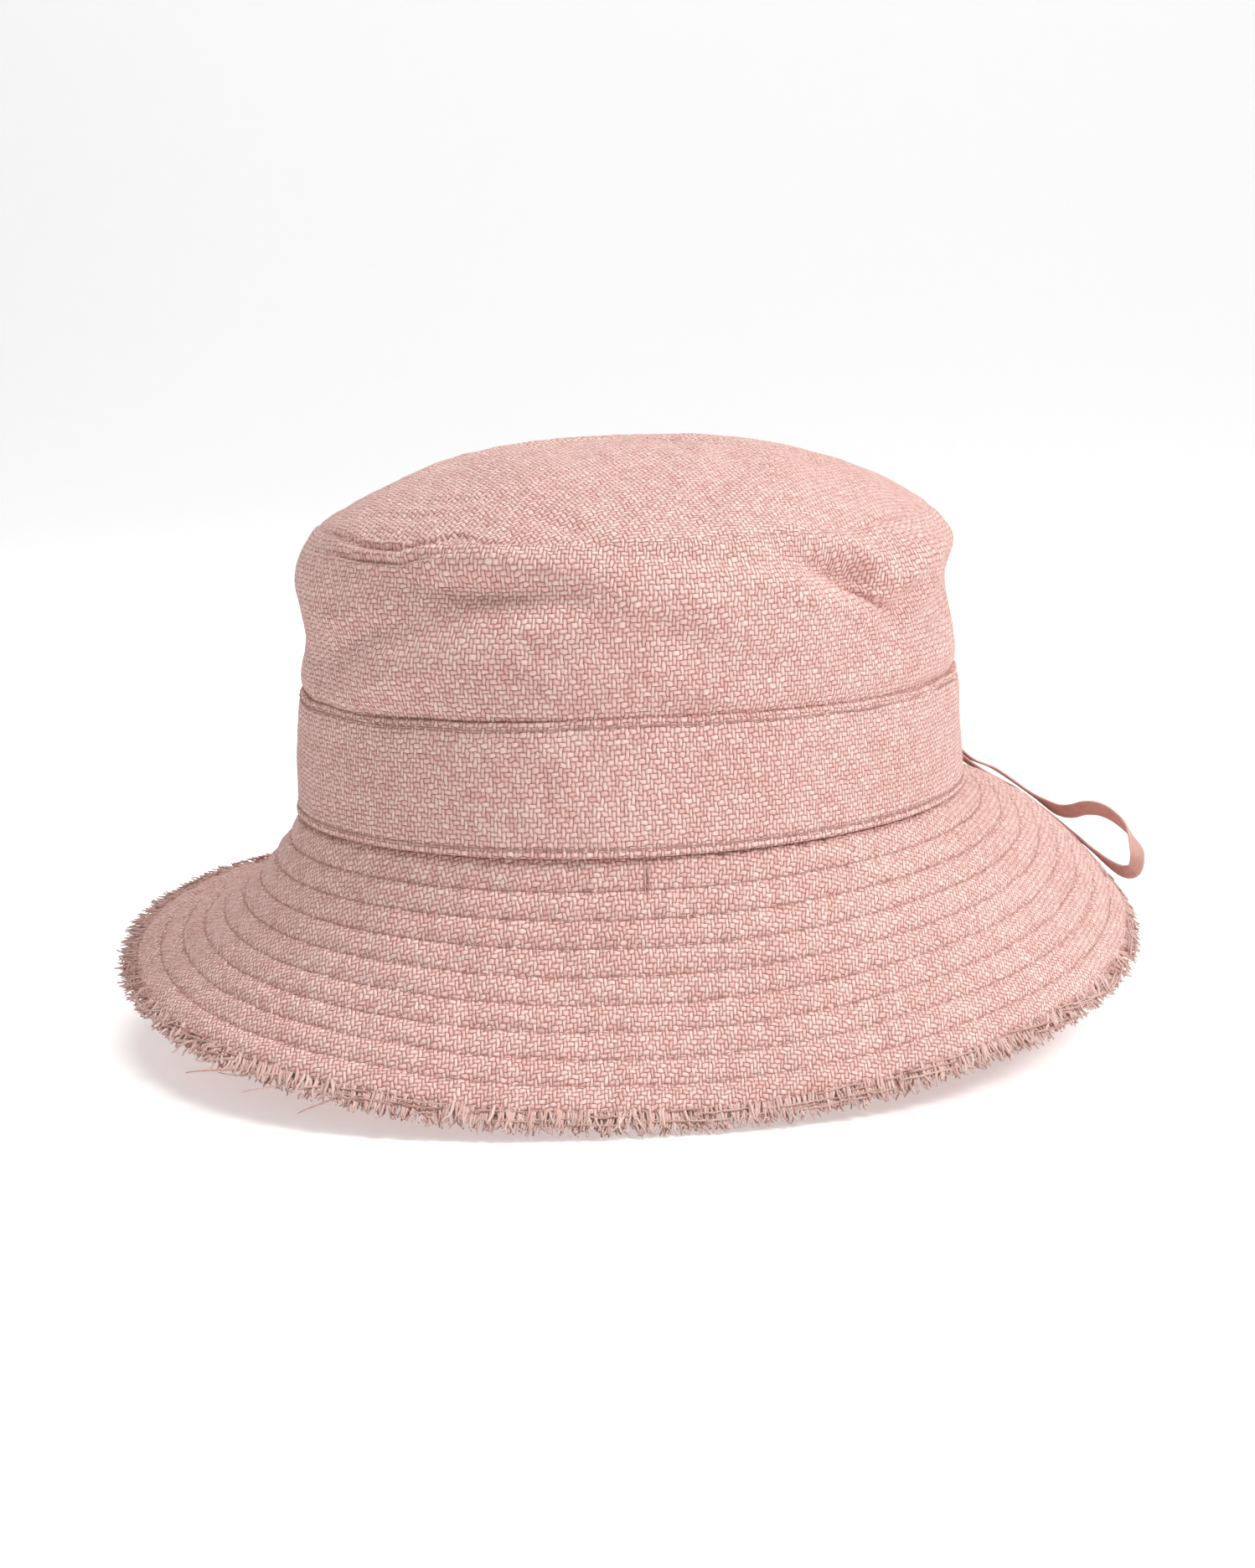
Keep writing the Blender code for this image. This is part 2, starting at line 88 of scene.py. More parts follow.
LOOP_RUN = (
    ((0.2, 4.3, (1, 0, 0)), (0.32, 3.9, (1, 0, 0)), (0.44, 3.9, (1, 0, 0)), (0.52, 5.2, (0.8, -0.2, -0.6)),
     (0.58, 8.4, (0.6, -0.1, -0.9)), (0.66, 13.2, (0.5, 0, -1)), (0.74, 17.2, (0.5, 0, -1)),
     (0.82, 20.0, (0.5, 0.1, -0.9)), (0.9, 21.6, (0.5, 0.4, -0.8)), (0.96, 21.4, (0.3, 0.8, -0.4)),
     (1.0, 18.5, (0, 1, 0)), (0.99, 14.0, (-0.2, 1, 0.3)), (0.95, 10.5, (-0.5, 0.8, 0.6)),
     (0.88, 6.6, (-0.8, 0.6, 0.6)), (0.8, 4.0, (-1, 0.3, 0.3)), (0.7, 2.6, (-1, 0, 0)),
     (0.6, 2.2, (-1, 0, 0)), (0.4, 1.9, (-1, 0, 0)), (0.22, 2.2, (-1, 0, 0))),
    ((0.2, 6.0, (1, 0, 0)), (0.34, 6.5, (1, 0, 0)), (0.55, 8.5, (1, 0, 0.2)), (0.78, 10.0, (1, 0.3, 0.3)),
     (0.92, 9.5, (0.6, 1, 0.3)), (1.0, 7.0, (0, 1, 0.3)), (0.96, 4.6, (-0.7, 1, 0.2)),
     (0.82, 2.6, (-1, 0, 0)), (0.6, 2.1, (-1, 0, 0)), (0.4, 1.9, (-1, 0, 0)), (0.24, 2.2, (-1, 0, 0))),
)
TAIL_ROOT = (0.95, 6.0)
TAIL_TURN = (80.0, 77.0)
TAIL_REACH = 40.0
KNOT = np.array([0.0, BAND_HALF_LENGTH + 3.4, 17.5])

# ---- sizes of the looks ----------------------------------------------------------------------------
WARP, WEFT = 1.02, 1.30      # pitch of the canvas's yarns
STITCH = 2.9                 # pitch of the stitches
BRIM_GRAIN = -38.5           # direction where the brim's yarns run straight outwards
FLAT_TURN = 0.66             # the brim's flat pattern turns this much for each turn of the hat
BRIM_RING = 94.0 / FLAT_TURN  # inner radius of the brim's flat pattern
PUFF = 0.95                  # how far the brim's channels stand over their stitch rows
SEED = 11
MEAN_RADIUS = 94.0           # of the band and of the crown, where a length round the hat is wanted
FRAY_RADIUS = 143.0          # mean radius of the brim's raw edge

# Creases of the crown: points (direction, distance up the cloth from the foot), half width, depth
CREASES = (
    (((-107, 81.0), (-101, 81.8), (-90, 79.6), (-82, 79.0), (-76, 81.6), (-71, 84.6), (-66, 82.4),
      (-58, 79.5)), 0.9, 1.1),
    (((-104, 75.6), (-97, 76.2), (-88, 75.2), (-80, 75.4), (-75, 77.0), (-69, 79.2)), 0.8, 1.0),
    (((-94, 66.0), (-82, 69.5), (-68, 70.0), (-54, 67.0), (-44, 64.0)), 4.2, 2.0),
    (((-100, 43.0), (-88, 53.0), (-76, 59.5), (-64, 64.0), (-50, 66.0)), 6.0, 3.0),
    (((-13, 76.0), (-3, 72.0), (4, 67.5), (9, 62.0), (15, 56.5)), 4.2, 3.6),
    (((0, 66.0), (5, 63.0), (10, 59.0), (15, 56.0)), 1.0, 1.6),
    (((12, 56.0), (18, 58.0), (25, 62.0), (34, 66.0), (46, 67.0)), 3.0, 3.0),
    (((0, 49.0), (14, 50.5), (28, 55.0), (44, 59.0), (56, 59.0)), 6.0, 2.4),
    (((-150, 51.0), (-132, 51.0), (-116, 49.0), (-104, 46.0)), 10.0, 1.7),
    (((-97, 90.0), (-84, 92.0), (-73, 95.5)), 1.8, 0.5),
    (((-92, 98.0), (-80, 99.5), (-66, 104.0)), 2.4, 0.5),
    (((-62, 96.0), (-54, 90.0), (-47, 85.5)), 2.8, 0.7),
    (((-48, 79.0), (-34, 77.0), (-20, 74.0), (-10, 71.0)), 2.2, 0.8),
    (((-40, 58.0), (-24, 49.0), (-8, 44.0)), 4.5, 1.1),
    (((-60, 46.0), (-44, 55.0), (-32, 60.0)), 4.5, 0.9),
    (((150, 70.0), (165, 66.0), (178, 69.0)), 2.4, 1.2),
    (((70, 60.0), (88, 57.0), (104, 61.0)), 3.0, 1.3),
)
# Soft swellings: direction, distance up the cloth, half width, half height, rise
SWELLS = (
    (-84.0, 46.5, 13.0, 6.5, 1.7), (-61.0, 76.5, 16.0, 4.5, 1.2), (-28.0, 67.0, 24.0, 7.5, 1.7),
    (25.0, 70.5, 14.0, 7.5, 4.2), (46.0, 74.0, 22.0, 7.0, 1.4), (36.0, 43.5, 24.0, 5.5, 1.4),
    (-106.0, 67.0, 14.0, 8.0, 1.4), (-7.0, 62.5, 9.0, 5.0, 1.4), (-50.0, 47.0, 14.0, 6.0, 0.8),
    (120.0, 62.0, 22.0, 10.0, 0.9),
)
# Long loose threads of the frayed edge: direction, length, bearing (degrees from outwards), droop
STRAYS = (
    (-88.0, 12.0, -60.0, 0.5), (-85.0, 20.0, -62.0, 1.0), (-81.5, 19.0, -66.0, 1.5),
    (-79.0, 15.0, -58.0, 0.8), (-76.0, 10.0, -66.0, 0.5), (-73.0, 13.0, -48.0, 3.5),
    (-91.0, 9.0, -52.0, 0.4), (-95.0, 7.0, -40.0, 0.4),
    (-34.0, 9.0, 58.0, 1.0), (-28.0, 6.0, 40.0, 0.5), (62.0, 9.0, 30.0, 2.0), (131.0, 11.0, 35.0, 2.0),
)


# ---- camera ----------------------------------------------------------------------------------------
AZIMUTH, ELEVATION, ROLL = np.radians((50.0, 10.0, -1.3))
CAMERA_DISTANCE = 900.0
AIM = np.array([-1.9 * np.cos(AZIMUTH), -1.9 * np.sin(AZIMUTH), 1.5])
PHOTO_HEIGHT, PIXELS_PER_MM, SENSOR = 1872, 4.15, 36.0

right = np.array([np.cos(AZIMUTH), np.sin(AZIMUTH), 0.0])
level_back = np.array([np.sin(AZIMUTH), -np.cos(AZIMUTH), 0.0])
back = level_back * np.cos(ELEVATION) + np.array([0.0, 0.0, np.sin(ELEVATION)])
level_up = np.cross(back, right)
image_right = np.cos(ROLL) * right + np.sin(ROLL) * level_up
image_up = -np.sin(ROLL) * right + np.cos(ROLL) * level_up
camera = bpy.data.objects.new("camera", bpy.data.cameras.new("camera"))
bpy.context.scene.collection.objects.link(camera)
place_of_camera = (AIM + back * CAMERA_DISTANCE) * 0.001
camera.matrix_world = Matrix([
    (*(float(a[k]) for a in (image_right, image_up, back)), float(place_of_camera[k])) for k in range(3)
] + [(0, 0, 0, 1)])
camera.data.sensor_width = SENSOR
camera.data.lens = SENSOR * PIXELS_PER_MM * CAMERA_DISTANCE / PHOTO_HEIGHT
camera.data.clip_end = 20.0
bpy.context.scene.camera = camera


# ---- shape of the hat ------------------------------------------------------------------------------
def keyed(values, degrees):
    """Smooth closed curve through eight equally spaced values."""
    values = np.asarray(values, float)
    turn = np.radians(np.asarray(degrees, float)[..., None] - FIRST_KEY - 45.0 * np.arange(8))
    half = np.sin(turn / 2)
    safe = np.where(np.abs(half) < 1e-9, 1.0, half)
    weight = np.where(np.abs(half) < 1e-9, 1.0, np.sin(4 * turn) * np.cos(turn / 2) / (8 * safe))
    return (weight * values).sum(-1)


def oval(degrees):
    """Distance from the axis to the band's outer face."""
    turn = np.radians(degrees)
    return 1 / np.sqrt((np.cos(turn) / BAND_HALF_WIDTH) ** 2 + (np.sin(turn) / BAND_HALF_LENGTH) ** 2)


def place(degrees, radius, height):
    turn = np.radians(degrees)
    return np.stack(np.broadcast_arrays(radius * np.cos(turn), radius * np.sin(turn), height), -1)


def unit(vectors):
    return vectors / np.maximum(np.linalg.norm(vectors, axis=-1, keepdims=True), 1e-12)


def away_from(degrees, centre):
    return (np.asarray(degrees) - centre + 180) % 360 - 180


def catmull(points, at):
    """Catmull-Rom curve through the points, at positions counted in points."""
    p = np.asarray(points, float)
    p = np.concatenate([[2 * p[0] - p[1]], p, [2 * p[-1] - p[-2]]])
    at = np.clip(np.asarray(at, float), 0, len(points) - 1)
    i = np.minimum(at.astype(int), len(points) - 2)
    t = (at - i)[..., None]
    a, b, c, d = (p[i + k] for k in range(4))
    return 0.5 * (2 * b + (c - a) * t + (2 * a - 5 * b + 4 * c - d) * t**2 + (3 * b - a - 3 * c + d) * t**3)


def smooth_line(points, count):
    """Catmull-Rom curve through the points, evenly resampled."""
    dense = catmull(points, np.linspace(0, len(points) - 1, 24 * len(points)))
    run = np.concatenate([[0], np.linalg.norm(np.diff(dense[:, :3], axis=0), axis=1).cumsum()])
    even = np.linspace(0, run[-1], count)
    return np.stack([np.interp(even, run, dense[:, i]) for i in range(dense.shape[1])], 1)


def noise(x, y, seed, octaves=3):
    """Smooth random field from a few dozen waves; x and y in units of its largest grain."""
    dice = np.random.default_rng(seed)
    total = 0.0
    for k in range(octaves):
        for _ in range(7):
            angle, phase = dice.uniform(0, 2 * np.pi, 2)
            pace = 2**k * dice.uniform(0.7, 1.4) * 2 * np.pi
            total = total + np.sin(pace * (x * np.cos(angle) + y * np.sin(angle)) + phase) / 2**k
    return total / 4.5


# The crown's outline, foot to top: distance from the axis is reach * share - inset
SIDE_INSET = BAND_THICKNESS + GAP + STRAP_THICKNESS + GAP
PROFILE_SIDE = (
    (1, SIDE_INSET, 0.2), (1, SIDE_INSET + 0.5 * (BAND_TAPER - 0.4), 18.0),
    (1, SIDE_INSET + BAND_TAPER - 0.5, 31.5),
    (1, 3.2, 34.3), (1, 2.2, 36.6), (1, 1.5, 40.5), (1, 1.0, 47.0), (1, 0.5, 58.0), (1, 1.0, 65.5),
    (1, 2.7, 71.5), (1, 6.2, 77.3),
)
TIP_PARTS = (0.95, 0.91, 0.86, 0.78, 0.66, 0.52, 0.36, 0.18, 0.0)
PROFILE = np.array(PROFILE_SIDE + tuple(
    (part, SEAM_IN * part, CROWN_TOP - (CROWN_TOP - SEAM_Z) * part**2.6) for part in TIP_PARTS))
SEAM_AT = len(PROFILE_SIDE) - 0.5   # the tip's seam, counted in profile points
TOP_AT = len(PROFILE) - 1.0
_steps = np.linspace(0, TOP_AT, 1700)
_share, _inset, _height = catmull(PROFILE, _steps).T
_along = np.concatenate([[0], np.hypot(np.diff(MEAN_RADIUS * _share - _inset), np.diff(_height)).cumsum()])
SEAM_UP = float(np.interp(SEAM_AT, _steps, _along))
TOP_UP = float(_along[-1])


def crown_base(degrees, up):
    """The crown's outer face before its dents; `up` is the distance up the cloth from the foot."""
    at = np.interp(up, _along, _steps)
    share, inset, height = np.moveaxis(catmull(PROFILE, at), -1, 0)
    fade = np.clip(1 - height / 40.0, 0, 1)
    return place(degrees, oval(degrees) * share - inset, height + keyed(BAND_LOWER, degrees) * fade)


def crown_normal(degrees, up):
    d, u = 0.2, 0.15
    low = np.clip(up - u, 0, TOP_UP - 2 * u)
    rise = crown_base(degrees, low + 2 * u) - crown_base(degrees, low)
    below_top = np.minimum(up, TOP_UP - 0.5)
    around = crown_base(degrees + d, below_top) - crown_base(degrees - d, below_top)
    return unit(np.cross(around, rise))


def near_line(degrees, up, points):
    """Distance to a line of (direction, up) points, and how far along it the nearest spot is, 0 to 1."""
    scale = 1.62
    best, where = np.full(np.shape(degrees), 1e9), np.zeros(np.shape(degrees))
    spans = len(points) - 1
    for k, ((d0, u0), (d1, u1)) in enumerate(zip(points, points[1:])):
        x, y = away_from(degrees, d0) * scale, up - u0
        dx, dy = (d1 - d0) * scale, u1 - u0
        t = np.clip((x * dx + y * dy) / (dx * dx + dy * dy), 0, 1)
        gap = np.hypot(x - t * dx, y - t * dy)
        nearer = gap < best
        best, where = np.where(nearer, gap, best), np.where(nearer, (k + t) / spans, where)
    return best, where


def crown_dent(degrees, up):
    """How far the cloth is pressed in, with its hollows, creases, swellings and seam."""
    height = crown_base(degrees, up)[..., 2]
    depth = np.zeros(np.shape(height))
    for at, level, wide, tall, deep in HOLLOWS:
        along = np.radians(away_from(degrees, at)) * 92.0
        depth += deep * np.exp(-((along / wide) ** 2) - ((height - level) / tall) ** 2)
    depth *= np.clip((height - 36.0) / 8.0, 0, 1)
    for at, level, wide, tall, rise in SWELLS:
        along = np.radians(away_from(degrees, at)) * 92.0
        depth -= rise * np.exp(-((along / wide) ** 2) - ((up - level) / tall) ** 2)
    for points, wide, deep in CREASES:
        gap, where = near_line(degrees, up, points)
        ends = np.sin(np.pi * np.clip(where, 0.06, 0.94)) ** 0.7
        shoulder = 0.45 * np.exp(-(((gap - 2.1 * wide) / wide) ** 2))
        depth += deep * ends * (np.exp(-((gap / wide) ** 2)) - shoulder)
    seam_gap = up - SEAM_UP
    run = np.asarray(degrees) * 1.6
    depth += (0.16 + 0.10 * noise(run / 30, up * 0, 3)) * np.exp(-((seam_gap / 0.6) ** 2))
    beside = np.exp(-(((np.abs(seam_gap) - 1.8) / 1.3) ** 2))
    depth -= 0.10 * beside * (1 + 0.5 * np.sin(run * 2 * np.pi / 4.1))
    soft = np.clip((up - 36.0) / 10.0, 0, 1) * np.clip((TOP_UP - up) / 20.0, 0.25, 1)
    x, y, _ = np.moveaxis(place(degrees, MEAN_RADIUS, 0.0), -1, 0)
    return depth - soft * (0.55 * noise(x / 60 + up / 90, y / 60 - up / 40, 5, 2)
                           + 0.16 * noise(x / 16 + up / 30, y / 16 + up / 14, 6, 2))


def crown_face(degrees, up, inwards=0.0):
    normal = crown_normal(degrees, up)
    return crown_base(degrees, up) - normal * (crown_dent(degrees, up) + inwards)[..., None]


# The brim, as a table by direction and by even steps along the cloth
TABLE_TURN = 720
BRIM_STEPS = 155
BRIM_THICK = PLY + GAP + INTERLINING + GAP + PLY


def brim_table():
    degrees = np.arange(TABLE_TURN) * 360.0 / TABLE_TURN
    start, end, bend = (keyed(v, degrees) for v in (SLOPE_AT_BAND, SLOPE_AT_EDGE, SLOPE_BEND))
    width = BRIM_WIDTH - BRIM_TRIM * np.sin(np.radians(degrees + 40.0)) ** 2
    radius, height = [oval(degrees) - 1.2], [keyed(BAND_LOWER, degrees) - 0.5]
    for k in range(BRIM_STEPS + 45):
        slope = np.radians(start + (end - start) * min((k + 0.5) / BRIM_STEPS, 1.0) ** bend)
        radius.append(radius[-1] + np.cos(slope) * width / BRIM_STEPS)
        height.append(height[-1] - np.sin(slope) * width / BRIM_STEPS)
    return np.array(radius), np.array(height)


BRIM_RADIUS, BRIM_HEIGHT = brim_table()


def brim_base(degrees, out):
    """The brim's upper face; `out` is the distance along the cloth, 0 at the band, 75 at the fray's tips."""
    degrees, out = np.broadcast_arrays(np.asarray(degrees, float), np.asarray(out, float))
    column = degrees % 360.0 * TABLE_TURN / 360.0
    row = np.clip(out / BRIM_WIDTH * BRIM_STEPS, 0, len(BRIM_RADIUS) - 1.001)
    c, r = column.astype(int), row.astype(int)
    u, v = column - c, row - r

    def pick(table):
        d = (c + 1) % TABLE_TURN
        low = table[r, c % TABLE_TURN] * (1 - u) + table[r, d] * u
        high = table[r + 1, c % TABLE_TURN] * (1 - u) + table[r + 1, d] * u
        return low * (1 - v) + high * v

    return place(degrees, pick(BRIM_RADIUS), pick(BRIM_HEIGHT))


def brim_normal(degrees, out):
    d, o = 0.5, 0.6
    low = np.clip(out - o, 0, None)
    outwards = brim_base(degrees, low + 2 * o) - brim_base(degrees, low)
    around = brim_base(degrees + d, out) - brim_base(degrees - d, out)
    return unit(np.cross(outwards, around))


def channel(out):
    """0 on a stitch row and 1 in the middle between two rows."""
    place_in_row = (out - ROW_FIRST) / ROW_STEP
    last = ROWS - 1
    first = np.clip(0.5 + (out - ROW_FIRST * 0.5) / ROW_FIRST, 0, 1)
    share = np.where(place_in_row < 0, first, place_in_row % 1.0)
    share = np.where(place_in_row > last, np.clip((place_in_row - last) * 0.55, 0, 0.5), share)
    return np.sin(np.pi * share) ** 0.7


def brim_puff(degrees, out, seed):
    """How far the quilted cloth stands over the plain brim."""
    run = np.asarray(degrees) * 2.0
    x, y, _ = np.moveaxis(place(degrees, 1.0, 0.0), -1, 0)
    swell = channel(out)
    uneven = 1 + 0.45 * noise(run / 34, out / 30, seed, 2)
    row = np.abs((out - ROW_FIRST + ROW_STEP / 2) % ROW_STEP - ROW_STEP / 2)
    near_row = np.exp(-((row / 1.5) ** 2))
    pucker = 0.24 * noise(run / 6.5, out / 22, seed + 1, 3) * (0.55 + near_row)
    wave = 0.45 * noise(x * 2.1 + out / 160, y * 2.1, seed + 2, 2) * np.clip(out / 25, 0, 1)
    pinch = 0.12 * near_row * np.cos(run * 2 * np.pi / STITCH)
    return PUFF * swell * uneven - 0.18 + pucker + wave + pinch


def brim_face(degrees, out, seed=21):
    return brim_base(degrees, out) + brim_normal(degrees, out) * brim_puff(degrees, out, seed)[..., None]


def brim_lower(degrees, out, seed=31):
    """The under side: the same channels, hanging down."""
    drop = BRIM_THICK + brim_puff(degrees, out, seed) * 0.8
    return brim_base(degrees, out) - brim_normal(degrees, out) * drop[..., None]


def brim_height(x, y):
    degrees = np.degrees(np.arctan2(y, x))
    outs = np.arange(0, 76, 0.5)
    line = brim_base(np.full(len(outs), degrees), outs)
    return float(np.interp(np.hypot(x, y), np.hypot(line[:, 0], line[:, 1]), line[:, 2]))


def brim_lean(x, y):
    """The way the brim's upper face looks over a point of the plan."""
    rise_x = (brim_height(x + 1.0, y) - brim_height(x - 1.0, y)) / 2.0
    rise_y = (brim_height(x, y + 1.0) - brim_height(x, y - 1.0)) / 2.0
    return np.array([-rise_x, -rise_y, 1.0]) / np.sqrt(1 + rise_x**2 + rise_y**2)


def brim_flat(degrees, out):
    """Where a point of the brim lies on its flat pattern, a ring's sector cut on the straight grain."""
    turn = np.radians(away_from(degrees, 90.0) % 360.0 - (BRIM_GRAIN - 90.0) % 360.0) * FLAT_TURN
    radius = BRIM_RING + out
    return np.stack([radius * np.sin(turn), radius * np.cos(turn)], -1)


def grain_lean(degrees):
    """Angle from straight outwards to the nearer set of yarns, -45 to 45 degrees."""
    turn = (away_from(degrees, 90.0) % 360.0 - (BRIM_GRAIN - 90.0) % 360.0) * FLAT_TURN
    return -((turn + 45.0) % 90.0 - 45.0)


# ---- mesh makers -----------------------------------------------------------------------------------
QUAD = ((0, 0), (0, 1), (1, 1), (1, 0))  # a quad's corners, in steps along and across a grid
THREAD_APART = 1.7                       # each thread's own stretch of the flat pattern


def make(name, points, faces, material, flat=None, body="hat"):
    """Mesh of quads from points in millimetres; flat holds each corner's place on the cloth."""
    faces = np.asarray(faces, np.int32)
    count, corners = faces.shape
    mesh = bpy.data.meshes.new(name)
    mesh.vertices.add(len(points))
    mesh.vertices.foreach_set("co", (np.asarray(points, np.float32) * 0.001).ravel())
    mesh.loops.add(count * corners)
    mesh.loops.foreach_set("vertex_index", faces.ravel())
    mesh.polygons.add(count)
    mesh.polygons.foreach_set("loop_start", np.arange(count, dtype=np.int32) * corners)
    mesh.polygons.foreach_set("use_smooth", np.ones(count, bool))
    mesh.update(calc_edges=True)
    if flat is not None:
        mesh.uv_layers.new(name="weave").data.foreach_set("uv", np.asarray(flat, np.float32).ravel())
    mesh.validate()
    mesh.materials.append(material)
    obj = bpy.data.objects.new(name, mesh)
    bpy.context.scene.collection.objects.link(obj)
    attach(obj, body)
    return obj


def stand_for(node):
    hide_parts(node)


def grid_mesh(name, grid, flat, material, ring=True, wrap=False, flip=False):
    """Surface through a grid [level, column, xyz]. ring closes the columns and wrap the levels; flat then
    has one more column, or one more level, than the grid."""
    levels, columns = grid.shape[:2]
    i, j = np.meshgrid(np.arange(levels if wrap else levels - 1), np.arange(columns if ring else columns - 1),
                       indexing="ij")
    i, j = i.ravel(), j.ravel()
    steps = QUAD if flip else QUAD[:1] + QUAD[:0:-1]
    faces = np.stack([(i + a) % levels * columns + (j + b) % columns for a, b in steps], 1)
    corners = np.stack([flat[i + a, j + b] for a, b in steps], 1)
    return make(name, grid.reshape(-1, 3), faces, material, corners)


def tubes(name, paths, radius, material, sides=6, flat_ratio=1.0):
    """Many thin round threads in one mesh: paths [thread, point, xyz], radius [thread, point]."""
    threads, count = paths.shape[:2]
    ahead = unit(np.gradient(paths, axis=1))
    helper = unit(np.cross(ahead, np.array([0.13, 0.21, 0.97])))
    second = np.cross(ahead, helper)
    turn = np.arange(sides) * 2 * np.pi / sides
    ring = helper[:, :, None] * np.cos(turn)[:, None]
    ring = ring + second[:, :, None] * np.sin(turn)[:, None] * flat_ratio
    points = paths[:, :, None] + ring * radius[:, :, None, None]
    n, i, j = np.meshgrid(np.arange(threads), np.arange(count - 1), np.arange(sides), indexing="ij")
    n, i, j = n.ravel(), i.ravel(), j.ravel()
    faces = np.stack([(n * count + i + a) * sides + (j + b) % sides for a, b in QUAD], 1)
    lengths = np.linalg.norm(np.diff(paths, axis=1), axis=2)
    run = np.concatenate([np.zeros((threads, 1)), lengths.cumsum(1)], 1)
    flat = np.stack([np.stack([n * THREAD_APART + (j + b) * 0.2, run[n, i + a]], -1) for a, b in QUAD], 1)
    return make(name, points.reshape(-1, 3), faces, material, flat)


# ---- materials -------------------------------------------------------------------------------------
class Sums:
    """Math nodes of one material, by name."""

    def __init__(self, name):
        self.material = bpy.data.materials.new(name)
        self.material.use_nodes = True
        self.tree = self.material.node_tree
        self.shader = self.tree.nodes["Principled BSDF"]

    def put(self, socket, value):
        if hasattr(value, "is_output"):
            self.tree.links.new(value, socket)
        else:
            socket.default_value = value

    def do(self, operation, *values):
        node = self.tree.nodes.new("ShaderNodeMath")
        node.operation = operation
        for k, value in enumerate(values):
            self.put(node.inputs[k], value)
        return node.outputs[0]

    def plus(self, first, second):
        return self.do("ADD", first, second)

    def minus(self, first, second):
        return self.do("SUBTRACT", first, second)

    def times(self, first, second):
        return self.do("MULTIPLY", first, second)

    def over(self, first, second):
        return self.do("DIVIDE", first, second)

    def mix(self, factor, first, second):
        """Number between two numbers."""
        return self.plus(first, self.times(self.minus(second, first), factor))

    def within(self, value):
        """The number kept between 0 and 1."""
        return self.do("MINIMUM", self.do("MAXIMUM", value, 0.0), 1.0)

    def blend(self, factor, first, second):
        node = self.tree.nodes.new("ShaderNodeMix")
        node.data_type = "RGBA"
        self.put(node.inputs[0], factor)
        self.put(node.inputs[6], first)
        self.put(node.inputs[7], second)
        return node.outputs[2]

    def flat(self):
        node = self.tree.nodes.new("ShaderNodeUVMap")
        node.uv_map = "weave"
        split = self.tree.nodes.new("ShaderNodeSeparateXYZ")
        self.tree.links.new(node.outputs[0], split.inputs[0])
        return split.outputs[0], split.outputs[1]

    def pair(self, x, y, z=0.0):
        node = self.tree.nodes.new("ShaderNodeCombineXYZ")
        for k, value in enumerate((x, y, z)):
            self.put(node.inputs[k], value)
        return node.outputs[0]

    def random(self, x, y, z=0.0):
        node = self.tree.nodes.new("ShaderNodeTexWhiteNoise")
        node.noise_dimensions = "3D"
        self.tree.links.new(self.pair(x, y, z), node.inputs["Vector"])
        return node.outputs["Value"]

    def cloudy(self, x, y, scale, detail=2.0, z=0.0):
        node = self.tree.nodes.new("ShaderNodeTexNoise")
        node.noise_dimensions = "3D"
        self.tree.links.new(self.pair(x, y, z), node.inputs["Vector"])
        node.inputs["Scale"].default_value = scale
        node.inputs["Detail"].default_value = detail
        return node.outputs["Fac"]

    def finish(self, colour, height, depth, rough, sheen=0.0):
        bump = self.tree.nodes.new("ShaderNodeBump")
        bump.inputs["Strength"].default_value = 1.0
        bump.inputs["Distance"].default_value = depth * 0.001
        self.tree.links.new(height, bump.inputs["Height"])
        self.tree.links.new(bump.outputs[0], self.shader.inputs["Normal"])
        self.put(self.shader.inputs["Base Color"], colour)
        self.put(self.shader.inputs["Roughness"], rough)
        self.shader.inputs["Specular IOR Level"].default_value = 0.35
        self.shader.inputs["Sheen Weight"].default_value = sheen
        self.shader.inputs["Sheen Roughness"].default_value = 0.5
        self.shader.inputs["Sheen Tint"].default_value = (1.0, 0.86, 0.82, 1.0)
        return self.material


ROSE, BLUSH, CREAM = (0.66, 0.33, 0.285, 1), (0.86, 0.535, 0.48, 1), (0.96, 0.75, 0.70, 1)
# deep red used as the painted shade between the canvas's yarns
GAP_SHADE = (0.27, 0.08, 0.055, 1)


